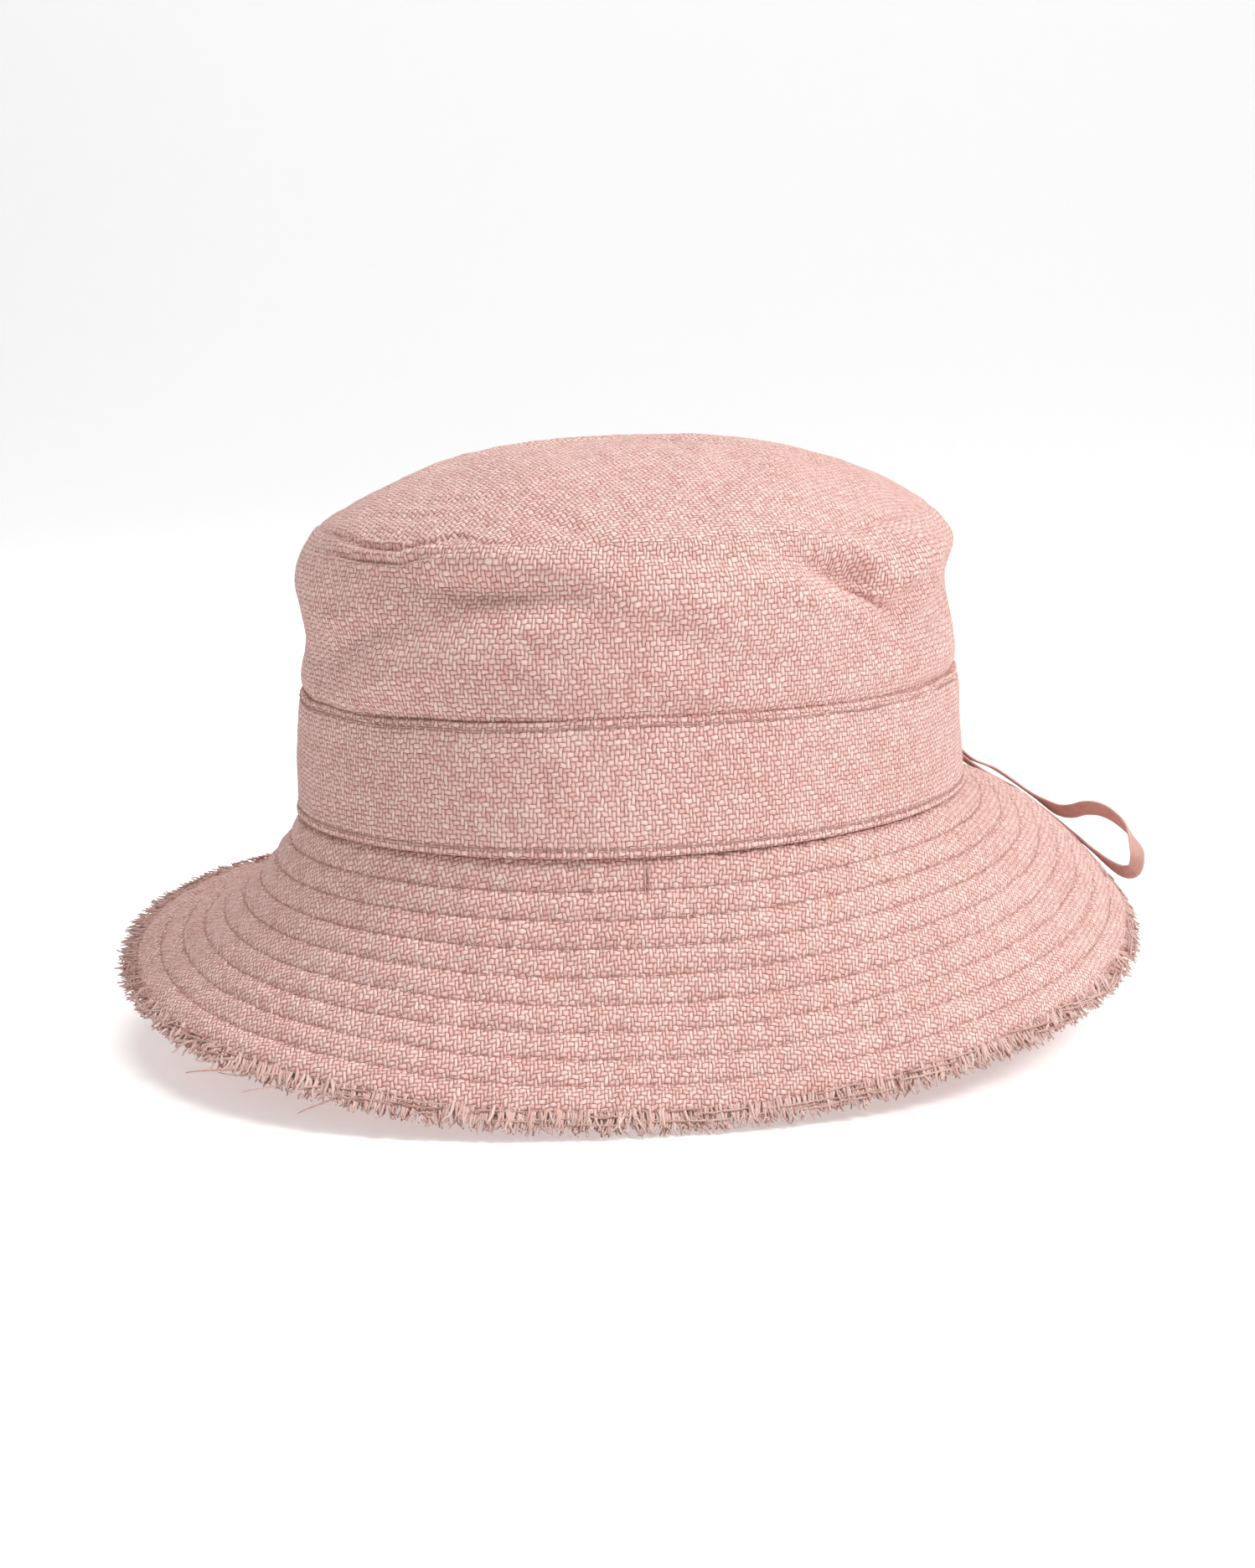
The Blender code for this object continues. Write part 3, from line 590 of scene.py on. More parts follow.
def canvas(name, quilted=False):
    """Two-over-two twill of heathered yarns, a few crossings out of step, painted darker in the gaps between
    its yarns as painted shade; the quilted one is also darker in its stitch rows, painted shade as well."""
    s = Sums(name)
    u, v = s.flat()
    drift_u = s.times(s.minus(s.cloudy(u, v, 0.34, 3.0), 0.5), 1.3)
    drift_v = s.times(s.minus(s.cloudy(u, v, 0.37, 3.0, 7.0), 0.5), 1.3)
    x = s.plus(s.over(u, WARP), drift_u)
    y = s.plus(s.over(v, WEFT), drift_v)
    i, j = s.do("FLOOR", x), s.do("FLOOR", y)
    fx, fy = s.minus(x, i), s.minus(y, j)
    both = s.plus(i, j)
    step = s.do("FLOORED_MODULO", both, 4.0)
    slip = s.do("LESS_THAN", s.random(i, j, 8.0), 0.07)
    warp = s.do("ABSOLUTE", s.minus(s.do("LESS_THAN", step, 1.5), slip))
    along = s.mix(warp, fx, fy)
    across = s.mix(warp, fy, fx)
    half = s.do("FLOORED_MODULO", step, 2.0)
    way = s.times(s.plus(half, along), 0.5)
    side = s.do("ABSOLUTE", s.minus(s.times(across, 2.0), 1.0))
    end = s.do("ABSOLUTE", s.minus(s.times(way, 2.0), 1.0))
    round_side = s.do("SQRT", s.do("MAXIMUM", s.minus(1.0, s.times(side, side)), 0.0))
    round_end = s.minus(1.0, s.do("POWER", end, 2.4))
    height = s.times(round_side, s.plus(0.25, s.times(round_end, 0.75)))
    yarn = s.mix(warp, s.plus(j, 500.5), i)
    float_number = s.do("FLOOR", s.over(both, 4.0))
    fleck = s.random(yarn, float_number, 1.0)
    thread = s.random(yarn, 3.0, 2.0)
    slub = s.cloudy(s.times(yarn, 5.3), s.times(s.mix(warp, u, v), 0.35), 1.0, 2.0)
    fibre = s.cloudy(s.times(across, 5.0), s.times(way, 1.6), 1.6, 3.0, yarn)
    broad = s.cloudy(u, v, 0.035, 3.0, 3.0)
    light = s.plus(s.times(fleck, 0.34), s.times(thread, 0.14))
    light = s.plus(light, s.times(slub, 0.30))
    light = s.plus(light, s.times(s.minus(fibre, 0.5), 0.9))
    light = s.plus(light, s.times(s.minus(broad, 0.5), 0.2))
    # painted highlight and shade: each float is lighter on its raised crest and darker where it dips to its
    # sides and ends
    light = s.plus(light, s.times(s.minus(height, 0.7), 0.35))
    low = s.blend(s.within(s.times(light, 2.6)), ROSE, BLUSH)
    yarn_colour = s.blend(s.within(s.times(s.minus(light, 0.36), 2.0)), low, CREAM)
    # painted shade: where the yarns dip, between the floats and at their ends, the colour goes towards a deep
    # red
    gap = s.within(s.over(s.minus(0.66, height), 0.58))
    gap = s.times(s.do("POWER", gap, 1.6), 0.95)
    colour = s.blend(gap, yarn_colour, GAP_SHADE)
    if quilted:
        out = s.do("SQRT", s.plus(s.times(u, u), s.times(v, v)))
        out = s.plus(out, ROW_STEP / 2 - ROW_FIRST - BRIM_RING)
        row = s.do("ABSOLUTE", s.minus(s.do("FLOORED_MODULO", out, ROW_STEP), ROW_STEP / 2))
        near = s.within(s.minus(1.0, s.over(row, 0.9)))
        patchy = s.within(s.times(s.minus(s.cloudy(u, v, 0.55, 3.0, 9.0), 0.44), 4.0))
        shadow = s.times(s.times(near, patchy), 0.62)
        colour = s.blend(shadow, colour, (0.36, 0.115, 0.075, 1))
    bumps = s.plus(height, s.times(fibre, 0.16))
    rough = s.minus(0.82, s.times(height, 0.12))
    return s.finish(colour, bumps, 0.45, rough, 0.15)


def yarn_material(name, painted_shade=0.0):
    """Loose heathered yarn: twisted, lighter and darker along its length; the second argument darkens the
    whole yarn as painted shade.
    """
    s = Sums(name)
    u, v = s.flat()
    which = s.do("FLOOR", s.over(u, THREAD_APART))
    tone = s.random(which, 4.0, 0.0)
    patch = s.cloudy(s.times(which, 3.1), v, 0.9, 3.0)
    twist = s.do("SINE", s.times(s.plus(s.times(u, 5.2), v), 7.0))
    light = s.plus(s.times(tone, 0.55), s.times(s.minus(patch, 0.2), 0.8))
    light = s.plus(light, s.times(twist, 0.08))
    light = s.within(light)
    # painted shade: the whole yarn is shifted towards its darker tone
    tip = s.within(s.minus(light, painted_shade))
    colour = s.blend(tip, (0.72, 0.37, 0.31, 1), (0.98, 0.75, 0.68, 1))
    return s.finish(colour, s.plus(twist, patch), 0.05, 0.75, 0.3)


def thread_material(name):
    s = Sums(name)
    u, v = s.flat()
    twist = s.do("SINE", s.times(s.plus(s.times(u, 6.0), v), 12.0))
    tone = s.plus(0.5, s.times(twist, 0.3))
    colour = s.blend(tone, (0.62, 0.29, 0.24, 1), (0.88, 0.55, 0.48, 1))
    return s.finish(colour, twist, 0.04, 0.6, 0.1)


def lining_material(name, colour, pitch=0.32, rib=0.0):
    """Fine plain weave, or ribs across when rib is set."""
    s = Sums(name)
    u, v = s.flat()
    if rib:
        wave = s.do("SINE", s.times(u, 2 * np.pi / rib))
        weave = s.plus(wave, s.times(s.do("SINE", s.times(v, 2 * np.pi / 0.5)), 0.25))
    else:
        weave = s.times(s.do("SINE", s.times(u, np.pi / pitch)),
                     s.do("SINE", s.times(v, np.pi / pitch)))
    cloud = s.cloudy(u, v, 0.06, 4.0)
    shade = s.plus(s.times(weave, 0.12), cloud)
    darker = tuple(c * 0.72 for c in colour[:3]) + (1,)
    return s.finish(s.blend(shade, darker, colour), weave, 0.07, 0.8, 0.15)


def strap_material(name):
    """Smooth narrow tape: fine ribs across, a firm edge along, both edges painted lighter as a highlight."""
    s = Sums(name)
    u, v = s.flat()
    rib = s.do("SINE", s.times(v, 2 * np.pi / 0.42))
    edge = s.do("GREATER_THAN", s.do("ABSOLUTE", u), STRAP_WIDTH / 2 - 0.55)
    cloud = s.cloudy(u, s.times(v, 0.35), 0.7, 4.0)
    tone = s.plus(s.times(cloud, 0.8), s.times(rib, 0.05))
    colour = s.blend(tone, (0.56, 0.275, 0.235, 1), (0.82, 0.52, 0.46, 1))
    # painted highlight: the tape's two long edges are lightened, for the light their rounded edges catch
    colour = s.blend(s.times(edge, 0.35), colour, (0.88, 0.60, 0.54, 1))
    return s.finish(colour, s.plus(rib, s.times(edge, 1.2)), 0.06, 0.62, 0.2)


CANVAS = canvas("canvas_twill")
QUILTED = canvas("canvas_twill_quilted", True)
YARNS = yarn_material("loose_yarn")
# the same loose yarn painted darker, a painted-shade copy for the under ply's fray, the cross yarns, the long
# threads and the join
SHADED_YARNS = yarn_material("loose_yarn_shaded", 0.15)
THREAD = thread_material("sewing_thread")
LINER = lining_material("cotton_lining", (0.80, 0.64, 0.58, 1))
FELT = lining_material("felt_interlining", (0.80, 0.78, 0.74, 1))
SWEAT = lining_material("sweatband_tape", (0.83, 0.70, 0.64, 1), rib=0.9)
STRAP = strap_material("tie_tape")


# ---- tie strap: cords first ------------------------------------------------------------------------
def strap_mesh(name, line, looks, body, node, width=STRAP_WIDTH, thick=STRAP_THICKNESS):
    """Flat tape with softly rounded edges along a line; looks are the ways its outer face points."""
    ahead = unit(np.gradient(line, axis=0))
    across = unit(np.cross(looks, ahead))
    facing = unit(np.cross(ahead, across))
    turn = np.arange(16) * np.pi / 8
    wide = np.sign(np.cos(turn)) * np.abs(np.cos(turn)) ** 0.35 * width / 2
    high = np.sign(np.sin(turn)) * np.abs(np.sin(turn)) ** 0.6 * thick / 2
    dish = 0.12 * np.cos(np.pi * wide / width)
    rings = (line[:, None] + across[:, None] * wide[:, None] + facing[:, None] * (high + dish)[:, None])
    run = np.concatenate([[0], np.linalg.norm(np.diff(line, axis=0), axis=1).cumsum()])
    flat = np.stack(np.broadcast_arrays(np.append(wide, wide[0])[None], run[:, None]), -1)
    count = len(line)
    i, j = np.meshgrid(np.arange(count - 1), np.arange(16), indexing="ij")
    i, j = i.ravel(), j.ravel()
    steps = QUAD[:1] + QUAD[:0:-1]
    faces = np.stack([(i + a) * 16 + (j + b) % 16 for a, b in steps], 1)
    corners = np.stack([flat[i + a, j + b] for a, b in steps], 1)
    caps = []
    for end, order in ((0, 1), (count - 1, -1)):
        for k in range(1, 8):
            quad = [end * 16 + q % 16 for q in (k - 1, k, 16 - k, 17 - k)]
            caps.append(quad[::order])
    faces = np.concatenate([faces, caps])
    corners = np.concatenate([corners, np.zeros((len(caps), 4, 2))])
    obj = make(name, rings.reshape(-1, 3), faces, STRAP, corners, body)
    if node:
        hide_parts(node)
    return obj


def loop_line(hand, plan, run):
    """Bow loop from the knot, out on top and back below, and the way its strap's outer face looks."""
    flat = smooth_line([(x * hand, y, 0.0) for x, y in plan], 60)

    def over(share):
        at = np.clip(share, 0.0, 1.0) * 59
        spot = np.array([np.interp(at, np.arange(60), flat[:, i]) for i in range(2)])
        ahead = np.array([np.interp(at, np.arange(60), np.gradient(flat[:, i])) for i in range(2)])
        return spot + KNOT[:2], ahead / np.linalg.norm(ahead)

    (x, y), ahead = over(0.0)
    points = [(x, y, KNOT[2] + 3.0, 0, 0, 1)]
    for share, lift, (up, away, side_look) in run:
        (x, y), ahead = over(share)
        flank = np.array([ahead[1], -ahead[0]]) * hand
        look = np.append(ahead * away + flank * side_look, 0.0) + brim_lean(x, y) * up
        points.append((x, y, brim_height(x, y) + lift, *look))
    (x, y), ahead = over(0.0)
    points.append((x, y, KNOT[2] - 3.4, 0, 0, -1))
    line = smooth_line(points, 220)
    return line[:, :3], unit(line[:, 3:])


def tail_line(turn, hand):
    """Tail leaving the knot and lying down on the brim."""
    way = np.array([hand * np.cos(np.radians(turn)), np.sin(np.radians(turn)), 0.0])
    start = KNOT + (hand * TAIL_ROOT[0], TAIL_ROOT[1], -0.1)
    points = [start, start + way * 5.0 + (0, 0, -3.4)]
    for reach, lift in ((10, 5.2), (18, 3.2), (28, 2.4), (TAIL_REACH, 2.4)):
        spot = start + way * reach
        points.append((*spot[:2], brim_height(spot[0], spot[1]) + lift))
    return smooth_line(points, 90), way


def bow_ear(name, end, beyond, look, inside, shoulder):
    """The strap between the knot's inside and the start of a loop or tail, one stretch of the same tape."""
    line = smooth_line([tuple(p) for p in (inside, shoulder, end, end + (beyond - end) * 0.25)], 12)
    return strap_mesh(name, line, np.repeat(unit(look)[None], 12, 0), "hat", None, width=4.7, thick=0.95)


for k, (side_name, hand) in enumerate((("right", 1), ("left", -1))):
    line, looks = loop_line(hand, LOOP_PLAN[k], LOOP_RUN[k])
    loop = strap_mesh(f"bow_loop_{side_name}", line, looks, f"loop_{side_name}", f"tie_loop_{side_name}")
    bow_ear(f"bow_ear_{side_name}_upper", line[0], line[4], looks[0], KNOT + (hand * 0.6, 0.6, 1.4),
            KNOT + (hand * 3.4, 0.9, 3.7))
    bow_ear(f"bow_ear_{side_name}_lower", line[-1], line[-5], looks[-1], KNOT + (hand * 0.6, 0.6, -1.4),
            KNOT + (hand * 3.6, 0.6, -3.2))
    line, way = tail_line(TAIL_TURN[k], hand)
    spots = brim_normal(np.degrees(np.arctan2(line[:, 1], line[:, 0])), np.full(len(line), 30.0))
    twist = np.clip((np.arange(len(line)) / (len(line) - 1) * 15 - 2) / 5.0, 0, 1)[:, None]
    upright = np.array([way[1], -way[0], 0.0]) * hand
    tail = strap_mesh(f"bow_tail_{side_name}", line, unit(upright * (1 - twist) + spots * twist),
                      f"tail_{side_name}", f"tie_tail_{side_name}")
    bow_ear(f"bow_tail_root_{side_name}", line[0], line[2], upright, KNOT + (hand * 0.4, 1.2, 0.3),
            KNOT + (hand * 0.6, 3.6, 0.4))


def ring_points(count):
    return np.arange(count) * 360.0 / count


# ---- crown -----------------------------------------------------------------------------------------
def crown_pieces():
    columns = 760
    around = ring_points(columns)
    ups = np.concatenate([np.linspace(0.0, 34.0, 12), np.linspace(34.6, SEAM_UP, 118)])
    degrees, up = np.meshgrid(around, ups)
    face = crown_face(degrees, up)
    hem = crown_face(degrees[:1], up[:1], PLY)
    tuck = crown_face(degrees[-1:], up[-1:] + 0.2, PLY * 0.9)
    grid = np.concatenate([hem, face, tuck])
    ups = np.concatenate([[-PLY], ups, [SEAM_UP + PLY]])
    run = np.append(around, 360.0) * 94.3 * np.pi / 180
    flat = np.stack(np.broadcast_arrays(run[None], ups[:, None]), -1)
    side = grid_mesh("crown_side_cloth", grid, flat, CANVAS, flip=True)
    stand_for("crown_side")

    # The tip: a square grid pressed round, so that its middle has no pole
    size = 300
    a = np.linspace(-1, 1, size)
    x, y = np.meshgrid(a, a)
    share = np.maximum(np.abs(x), np.abs(y))
    turn = np.where(np.abs(x) > np.abs(y), y / np.where(x == 0, 1, x) * np.pi / 4,
                    np.pi / 2 - x / np.where(y == 0, 1, y) * np.pi / 4)
    turn = np.where(np.where(np.abs(x) > np.abs(y), x, y) < 0, turn + np.pi, turn)
    degrees = np.degrees(turn)
    up = TOP_UP - (TOP_UP - SEAM_UP) * share
    grid = crown_face(degrees, up)
    reach = (TOP_UP - up) * oval(degrees) / MEAN_RADIUS
    flat = np.stack([reach * np.cos(turn + 0.3), reach * np.sin(turn + 0.3)], -1)
    tip = grid_mesh("crown_tip_cloth", grid, flat, CANVAS, ring=False, flip=True)
    stand_for("crown_tip")


def lining_pieces():
    around = ring_points(360)
    ups = np.linspace(1.2, SEAM_UP, 60)
    degrees, up = np.meshgrid(around, ups)
    run = np.append(around, 360.0) * 94.3 * np.pi / 180
    inner, outer = PLY + GAP + LINING, PLY + GAP
    pucker = 0.25 * noise(degrees * 1.6 / 9, up / 30, 41, 2) + 0.12
    grid = np.concatenate([crown_face(degrees, up, inner + pucker), crown_face(degrees, up, outer)[::-1]])
    ups = np.concatenate([ups, 160 - ups[::-1], [161.0]])
    flat = np.stack(np.broadcast_arrays(run[None], ups[:, None]), -1)
    side = grid_mesh("crown_side_lining", grid, flat, LINER, wrap=True)
    stand_for("side_lining")

    rings = np.linspace(1, 0.004, 50)
    degrees, share = np.meshgrid(around, rings)
    up = TOP_UP - (TOP_UP - SEAM_UP) * share
    pucker = 0.35 * noise(degrees * 1.2 / 14, share * 3, 43, 2) * share**3
    grid = crown_face(degrees, np.minimum(up, TOP_UP - 0.4), inner + pucker + 0.15)
    turn = np.radians(np.append(around, 360.0))[None]
    reach = 82.0 * rings[:, None]
    flat = np.stack([reach * np.cos(turn), reach * np.sin(turn)], -1)
    tip = grid_mesh("crown_tip_lining", grid, flat, LINER)
    stand_for("tip_lining")


def sweatband_piece():
    around = ring_points(420)
    thick = SWEATBAND / 2
    middle = PLY + GAP + LINING + GAP + thick
    turn = np.linspace(0, 2 * np.pi, 40, endpoint=False)
    low, high = 0.9, 29.4
    ups = (low + high) / 2 - np.sign(np.cos(turn)) * np.abs(np.cos(turn)) ** 0.3 * (high - low) / 2
    depths = middle - np.sign(np.sin(turn)) * np.abs(np.sin(turn)) ** 0.5 * thick
    degrees, up = np.meshgrid(around, ups)
    wave = 0.18 * noise(degrees * 1.6 / 40, up / 60, 47, 2) * (depths[:, None] > middle)
    edge = 0.25 * np.exp(-(((up - 27.6) / 0.7) ** 2)) + 0.25 * np.exp(-(((up - 2.6) / 0.7) ** 2))
    grid = crown_base(degrees, up) - crown_normal(degrees, up) * (
        depths[:, None] + wave - edge * (depths[:, None] > middle))[..., None]
    run = np.append(around, 360.0) * 93.0 * np.pi / 180
    flat = np.stack(np.broadcast_arrays(run[None], np.append(ups, ups[0])[:, None]), -1)
    band = grid_mesh("sweatband_tape", grid, flat, SWEAT, wrap=True, flip=True)
    stand_for("sweatband")
    # Two rows of stitches that hold it
    stitches = []
    for height in (2.6, 27.6):
        stitches.append(stitch_paths(
            lambda d, h=height: crown_base(d, h + 0 * d)
            - crown_normal(d, h + 0 * d) * (middle + thick + 0.02), sink=0.35,
            inwards=lambda d, h=height: crown_normal(d, h + 0 * d)))
    paths = np.concatenate(stitches)
    row = tubes("sweatband_stitches", paths, np.full(paths.shape[:2], 0.2), THREAD)


# ---- stitches --------------------------------------------------------------------------------------
def stitch_paths(spot, sink, inwards, pitch=STITCH, skip=None):
    """Short threads along a closed line: spot and inwards give the place and the way down, by direction."""
    fine = np.linspace(0, 360, 1441)
    line = spot(fine)
    run = np.concatenate([[0], np.linalg.norm(np.diff(line, axis=0), axis=1).cumsum()])
    count = int(run[-1] // pitch)
    centres = (np.arange(count) + 0.5) * run[-1] / count
    dice = np.random.default_rng(SEED + count)
    centres = centres + dice.normal(0, 0.08, count)
    reach = np.array([-0.46, -0.36, 0.0, 0.36, 0.46]) * run[-1] / count
    deep = np.array([1.0, 0.12, -0.12, 0.12, 1.0]) * sink
    degrees = np.interp(centres[:, None] + reach, run, fine)
    if skip is not None:
        degrees = degrees[~skip(degrees[:, 2])]
    return spot(degrees) + inwards(degrees) * deep[None, :, None]


# ---- hat band --------------------------------------------------------------------------------------
def band_spot(degrees, share, depth=0.0):
    """The band's face: share runs up it, 0 at the lower fold and 1 at the upper."""
    lower, upper = keyed(BAND_LOWER, degrees), keyed(BAND_UPPER, degrees)
    sag = 0.35 * noise(degrees / 24.0, 0 * degrees, 51, 2)
    height = lower + (upper + sag - lower) * share
    lean_in = 0.95 * np.clip((share - 0.80) / 0.2, 0, 1) ** 2
    return place(degrees, oval(degrees) - BAND_TAPER * height / 34.0 - depth - lean_in, height)


def band_swell(degrees, mm):
    """The band's own relief: puffed between its two stitch rows, pinched by each stitch."""
    run = degrees * 1.64
    rows = np.exp(-(((mm - 1.9) / 0.6) ** 2)) + 0.35 * np.exp(-(((mm - 33.0) / 0.55) ** 2))
    lip = np.exp(-(((mm - 0.6) / 0.8) ** 2)) + np.exp(-(((mm - 34.0) / 0.6) ** 2))
    pinch = np.cos(run * 2 * np.pi / STITCH + 0.7 * np.sin(run / 5.3))
    soft = 0.34 * noise(run / 46, mm / 50, 53, 3) + 0.14 * noise(run / 11, mm / 24, 54, 2)
    return 0.25 - rows * (0.30 + 0.16 * pinch) + lip * (0.20 - 0.20 * pinch) + soft * np.clip(mm / 6, 0.3, 1)


def band_piece():
    columns = 900
    slot = np.degrees(BACK_SLOT / BAND_HALF_LENGTH)
    around = np.linspace(90.0 + slot, 450.0 - slot, columns)
    half = BAND_THICKNESS / 2
    fold = np.linspace(-np.pi / 2, np.pi / 2, 9)[1:-1]
    shares = np.concatenate([
        np.zeros(7), np.linspace(0.02, 0.12, 9), np.linspace(0.14, 0.90, 30), np.linspace(0.91, 0.985, 9),
        np.ones(7), np.linspace(0.98, 0.02, 6)])
    face_depth = np.zeros(len(shares))
    rise = np.zeros(len(shares))
    face_depth[:7] = half - half * np.sin(fold)
    rise[:7] = -half * np.cos(fold) + 0.2
    top = len(shares) - 13
    face_depth[top:top + 7] = half + half * np.sin(fold)
    rise[top:top + 7] = half * np.cos(fold) - 0.2
    face_depth[top + 7:] = BAND_THICKNESS
    degrees, share = np.meshgrid(around, shares)
    mm = share * 34.6
    outer = (face_depth < half)[:, None] * 1.0
    grid = band_spot(degrees, share, face_depth[:, None] - outer * band_swell(degrees, mm))
    grid[..., 2] += rise[:, None]
    run = around * MEAN_RADIUS * np.pi / 180
    heights = np.concatenate([shares * 34.6 + rise * 1.5, [70.0]])
    heights[len(shares) - 6:len(shares)] = 70 - heights[len(shares) - 6:len(shares)]
    flat = np.stack(np.broadcast_arrays(run[None] + heights[:, None] * 0.02, heights[:, None]), -1)
    band = grid_mesh("hat_band_cloth", grid, flat, CANVAS, ring=False, wrap=True, flip=True)
    stand_for("hat_band")
    # Turned ends at the back, each a rounded lip over the raw edge
    for name, at, way in (("left", 90.0 + slot, 1), ("right", 90.0 - slot, -1)):
        shares = np.linspace(0.0, 1.0, 40)
        turn = np.linspace(0, 2 * np.pi, 12, endpoint=False)
        deg = at + way * (0.25 + 0.35 * np.cos(turn)[None, :]) + 0 * shares[:, None]
        depth = half - 0.25 + (half + 0.12) * np.sin(turn)[None, :] + 0 * shares[:, None]
        grid = band_spot(deg, np.clip(shares, 0.004, 0.996)[:, None] + 0 * deg, depth)
        flat = np.stack(np.broadcast_arrays(np.arange(13)[None] * 0.35, shares[:, None] * 34.6), -1)
        lip = grid_mesh(f"band_end_{name}", grid, flat, CANVAS)
    for name, share, mm in (("top", 0.954, 33.0), ("bottom", 0.055, 1.9)):
        paths = stitch_paths(
            lambda d, s=share, m=mm: band_spot(d, s + 0 * d, -band_swell(d, m + 0 * d) - 0.16),
            0.45, lambda d: -place(d, 1.0, 0.0), skip=lambda d: np.abs(away_from(d, 90.0)) < slot + 0.6)
        row = tubes(f"band_stitches_{name}", paths, np.full(paths.shape[:2], 0.23), THREAD)
        stand_for(f"band_stitch_{name}")


# ---- brim ------------------------------------------------------------------------------------------
EDGE = BRIM_WIDTH - FRAY


def brim_edge(degrees, seed):
    """Where the woven cloth ends and the loose yarns begin."""
    return EDGE + 0.35 * noise(degrees * 2.4 / 9, 0 * degrees, seed, 3)


def brim_piece(name, node, face, seed, flip, lift):
    columns = 1080
    around = ring_points(columns)
    outs = np.concatenate([np.linspace(0.0, ROW_FIRST, 17), np.linspace(ROW_FIRST, EDGE, 137)[1:]])
    degrees, out = np.meshgrid(around, outs)
    out = out * (brim_edge(degrees, seed) / EDGE) ** np.clip((out - 60) / 8, 0, 1)
    sheet = face(degrees, out, seed)
    inner = PLY * 0.9
    hem = face(degrees[-1:], out[-1:], seed) + brim_normal(degrees[-1:], out[-1:]) * (lift * inner)
    back_face = face(degrees[-30:-1:6][::-1], out[-30:-1:6][::-1], seed)
    back_face = back_face + brim_normal(degrees[-30:-1:6][::-1], out[-30:-1:6][::-1]) * (lift * inner)
    foot = sheet[:1] - place(degrees[:1], 1.0, 0.0)
    turned = [foot + (0, 0, rise) for rise in ((5.0, 0.2) if lift < 0 else (1.2, 0.1))]
    grid = np.concatenate([*turned, sheet, hem, back_face])
    flat_degrees = np.append(around, around[0] + 360.0 - 1e-6)
    folded = EDGE + 2 * PLY + (EDGE - out[-30:-1:6, 0][::-1])
    all_outs = np.concatenate([[-6.0, -1.0], out[:, 0], [EDGE + PLY], folded])
    d, o = np.meshgrid(flat_degrees, all_outs)
    flat = brim_flat(d, o)
    obj = grid_mesh(name, grid, flat, QUILTED, flip=flip)
    stand_for(node)
    return obj


def brim_pieces():
    brim_piece("brim_upper_cloth", "brim_upper", brim_face, 21, False, -1)
    brim_piece("brim_under_cloth", "brim_under", brim_lower, 31, True, 1)
    for k in range(ROWS):
        out = ROW_FIRST + ROW_STEP * k
        paths = stitch_paths(
            lambda d, o=out: brim_face(d, o + 0 * d) + brim_normal(d, o + 0 * d) * 0.1, 0.5,
            lambda d, o=out: -brim_normal(d, o + 0 * d))
        under = stitch_paths(
            lambda d, o=out: brim_lower(d, o + 0 * d) - brim_normal(d, o + 0 * d) * 0.1, 0.5,
            lambda d, o=out: brim_normal(d, o + 0 * d))
        both = np.concatenate([paths, under])
        row = tubes(f"brim_stitches_{k + 1}", both, np.full(both.shape[:2], 0.19), THREAD, sides=5)
        stand_for(f"brim_stitch_{k + 1}")


def felt_piece():
    """The stiffening between the plies, from under the band's seam to just past the last row of stitches."""
    around = ring_points(360)
    outs = np.linspace(2.5, ROW_FIRST + (ROWS - 1) * ROW_STEP + 1.0, 36)
    there_and_back = np.concatenate([outs, outs[::-1]])
    degrees, out = np.meshgrid(around, there_and_back)
    drop = np.repeat([PLY + GAP, PLY + GAP + INTERLINING], len(outs))[:, None] + 0 * out
    grid = brim_base(degrees, out) - brim_normal(degrees, out) * drop[..., None]
    d, o = np.meshgrid(np.append(around, around[0] + 360.0 - 1e-6), np.append(there_and_back, outs[0]))
    felt = grid_mesh("brim_felt", grid, brim_flat(d, o), FELT, wrap=True)
    stand_for("brim_interlining")


def fray(name, pitch, side, seed, material, length, radius):
    """One ply's frayed edge: side 1 is the upper ply and -1 the under one."""
    dice = np.random.default_rng(seed)
    count = int(2 * np.pi * FRAY_RADIUS / pitch)
    degrees = (np.arange(count) + dice.uniform(-0.35, 0.35, count)) * 360.0 / count
    lean = grain_lean(degrees)
    other = dice.uniform(size=count) < np.clip((np.abs(lean) - 30) / 30, 0, 0.5)
    lean = np.where(other, lean - np.sign(lean) * 90.0, lean)
    lean = np.radians(np.clip(lean * 0.8, -58, 58) + dice.normal(0, 6, count))
    long = length * dice.uniform(0.72, 1.08, count) * np.where(dice.uniform(size=count) < 0.06, 0.6, 1)
    t = np.linspace(0, 1, 8)[None]
    start = EDGE - 1.6
    travel = t * (long[:, None] + 1.6)
    wiggle = np.cumsum(dice.normal(0, 0.055, (count, 8)), 1) * t
    out = start + travel * np.cos(lean)[:, None]
    degrees = degrees[:, None] + np.degrees((travel * np.sin(lean)[:, None] + travel * wiggle) / 145.0)
    base = brim_base(degrees, out)
    normal = brim_normal(degrees, np.minimum(out, 74.0))
    level = (-0.28 if side > 0 else -BRIM_THICK + 0.45) + 1.1 * (side < 0) * t
    splay = dice.normal(0.10, 0.22, count)[:, None] * t**1.5 + dice.normal(0, 0.07, (count, 8)) * t
    puff = brim_puff(degrees[:, :1] + 0 * degrees, np.full(degrees.shape, EDGE), 21 if side > 0 else 31)
    lift = level + side * puff * (1 if side > 0 else 0.8) + splay * 1.5
    lift = lift + dice.uniform(-0.15, 0.2, count)[:, None]
    paths = base + normal * lift[..., None]
    thin = radius * dice.uniform(0.8, 1.2, count)[:, None] * (1 - 0.55 * t**3)
    obj = tubes(name, paths, thin, material, sides=6, flat_ratio=0.8)
    return obj


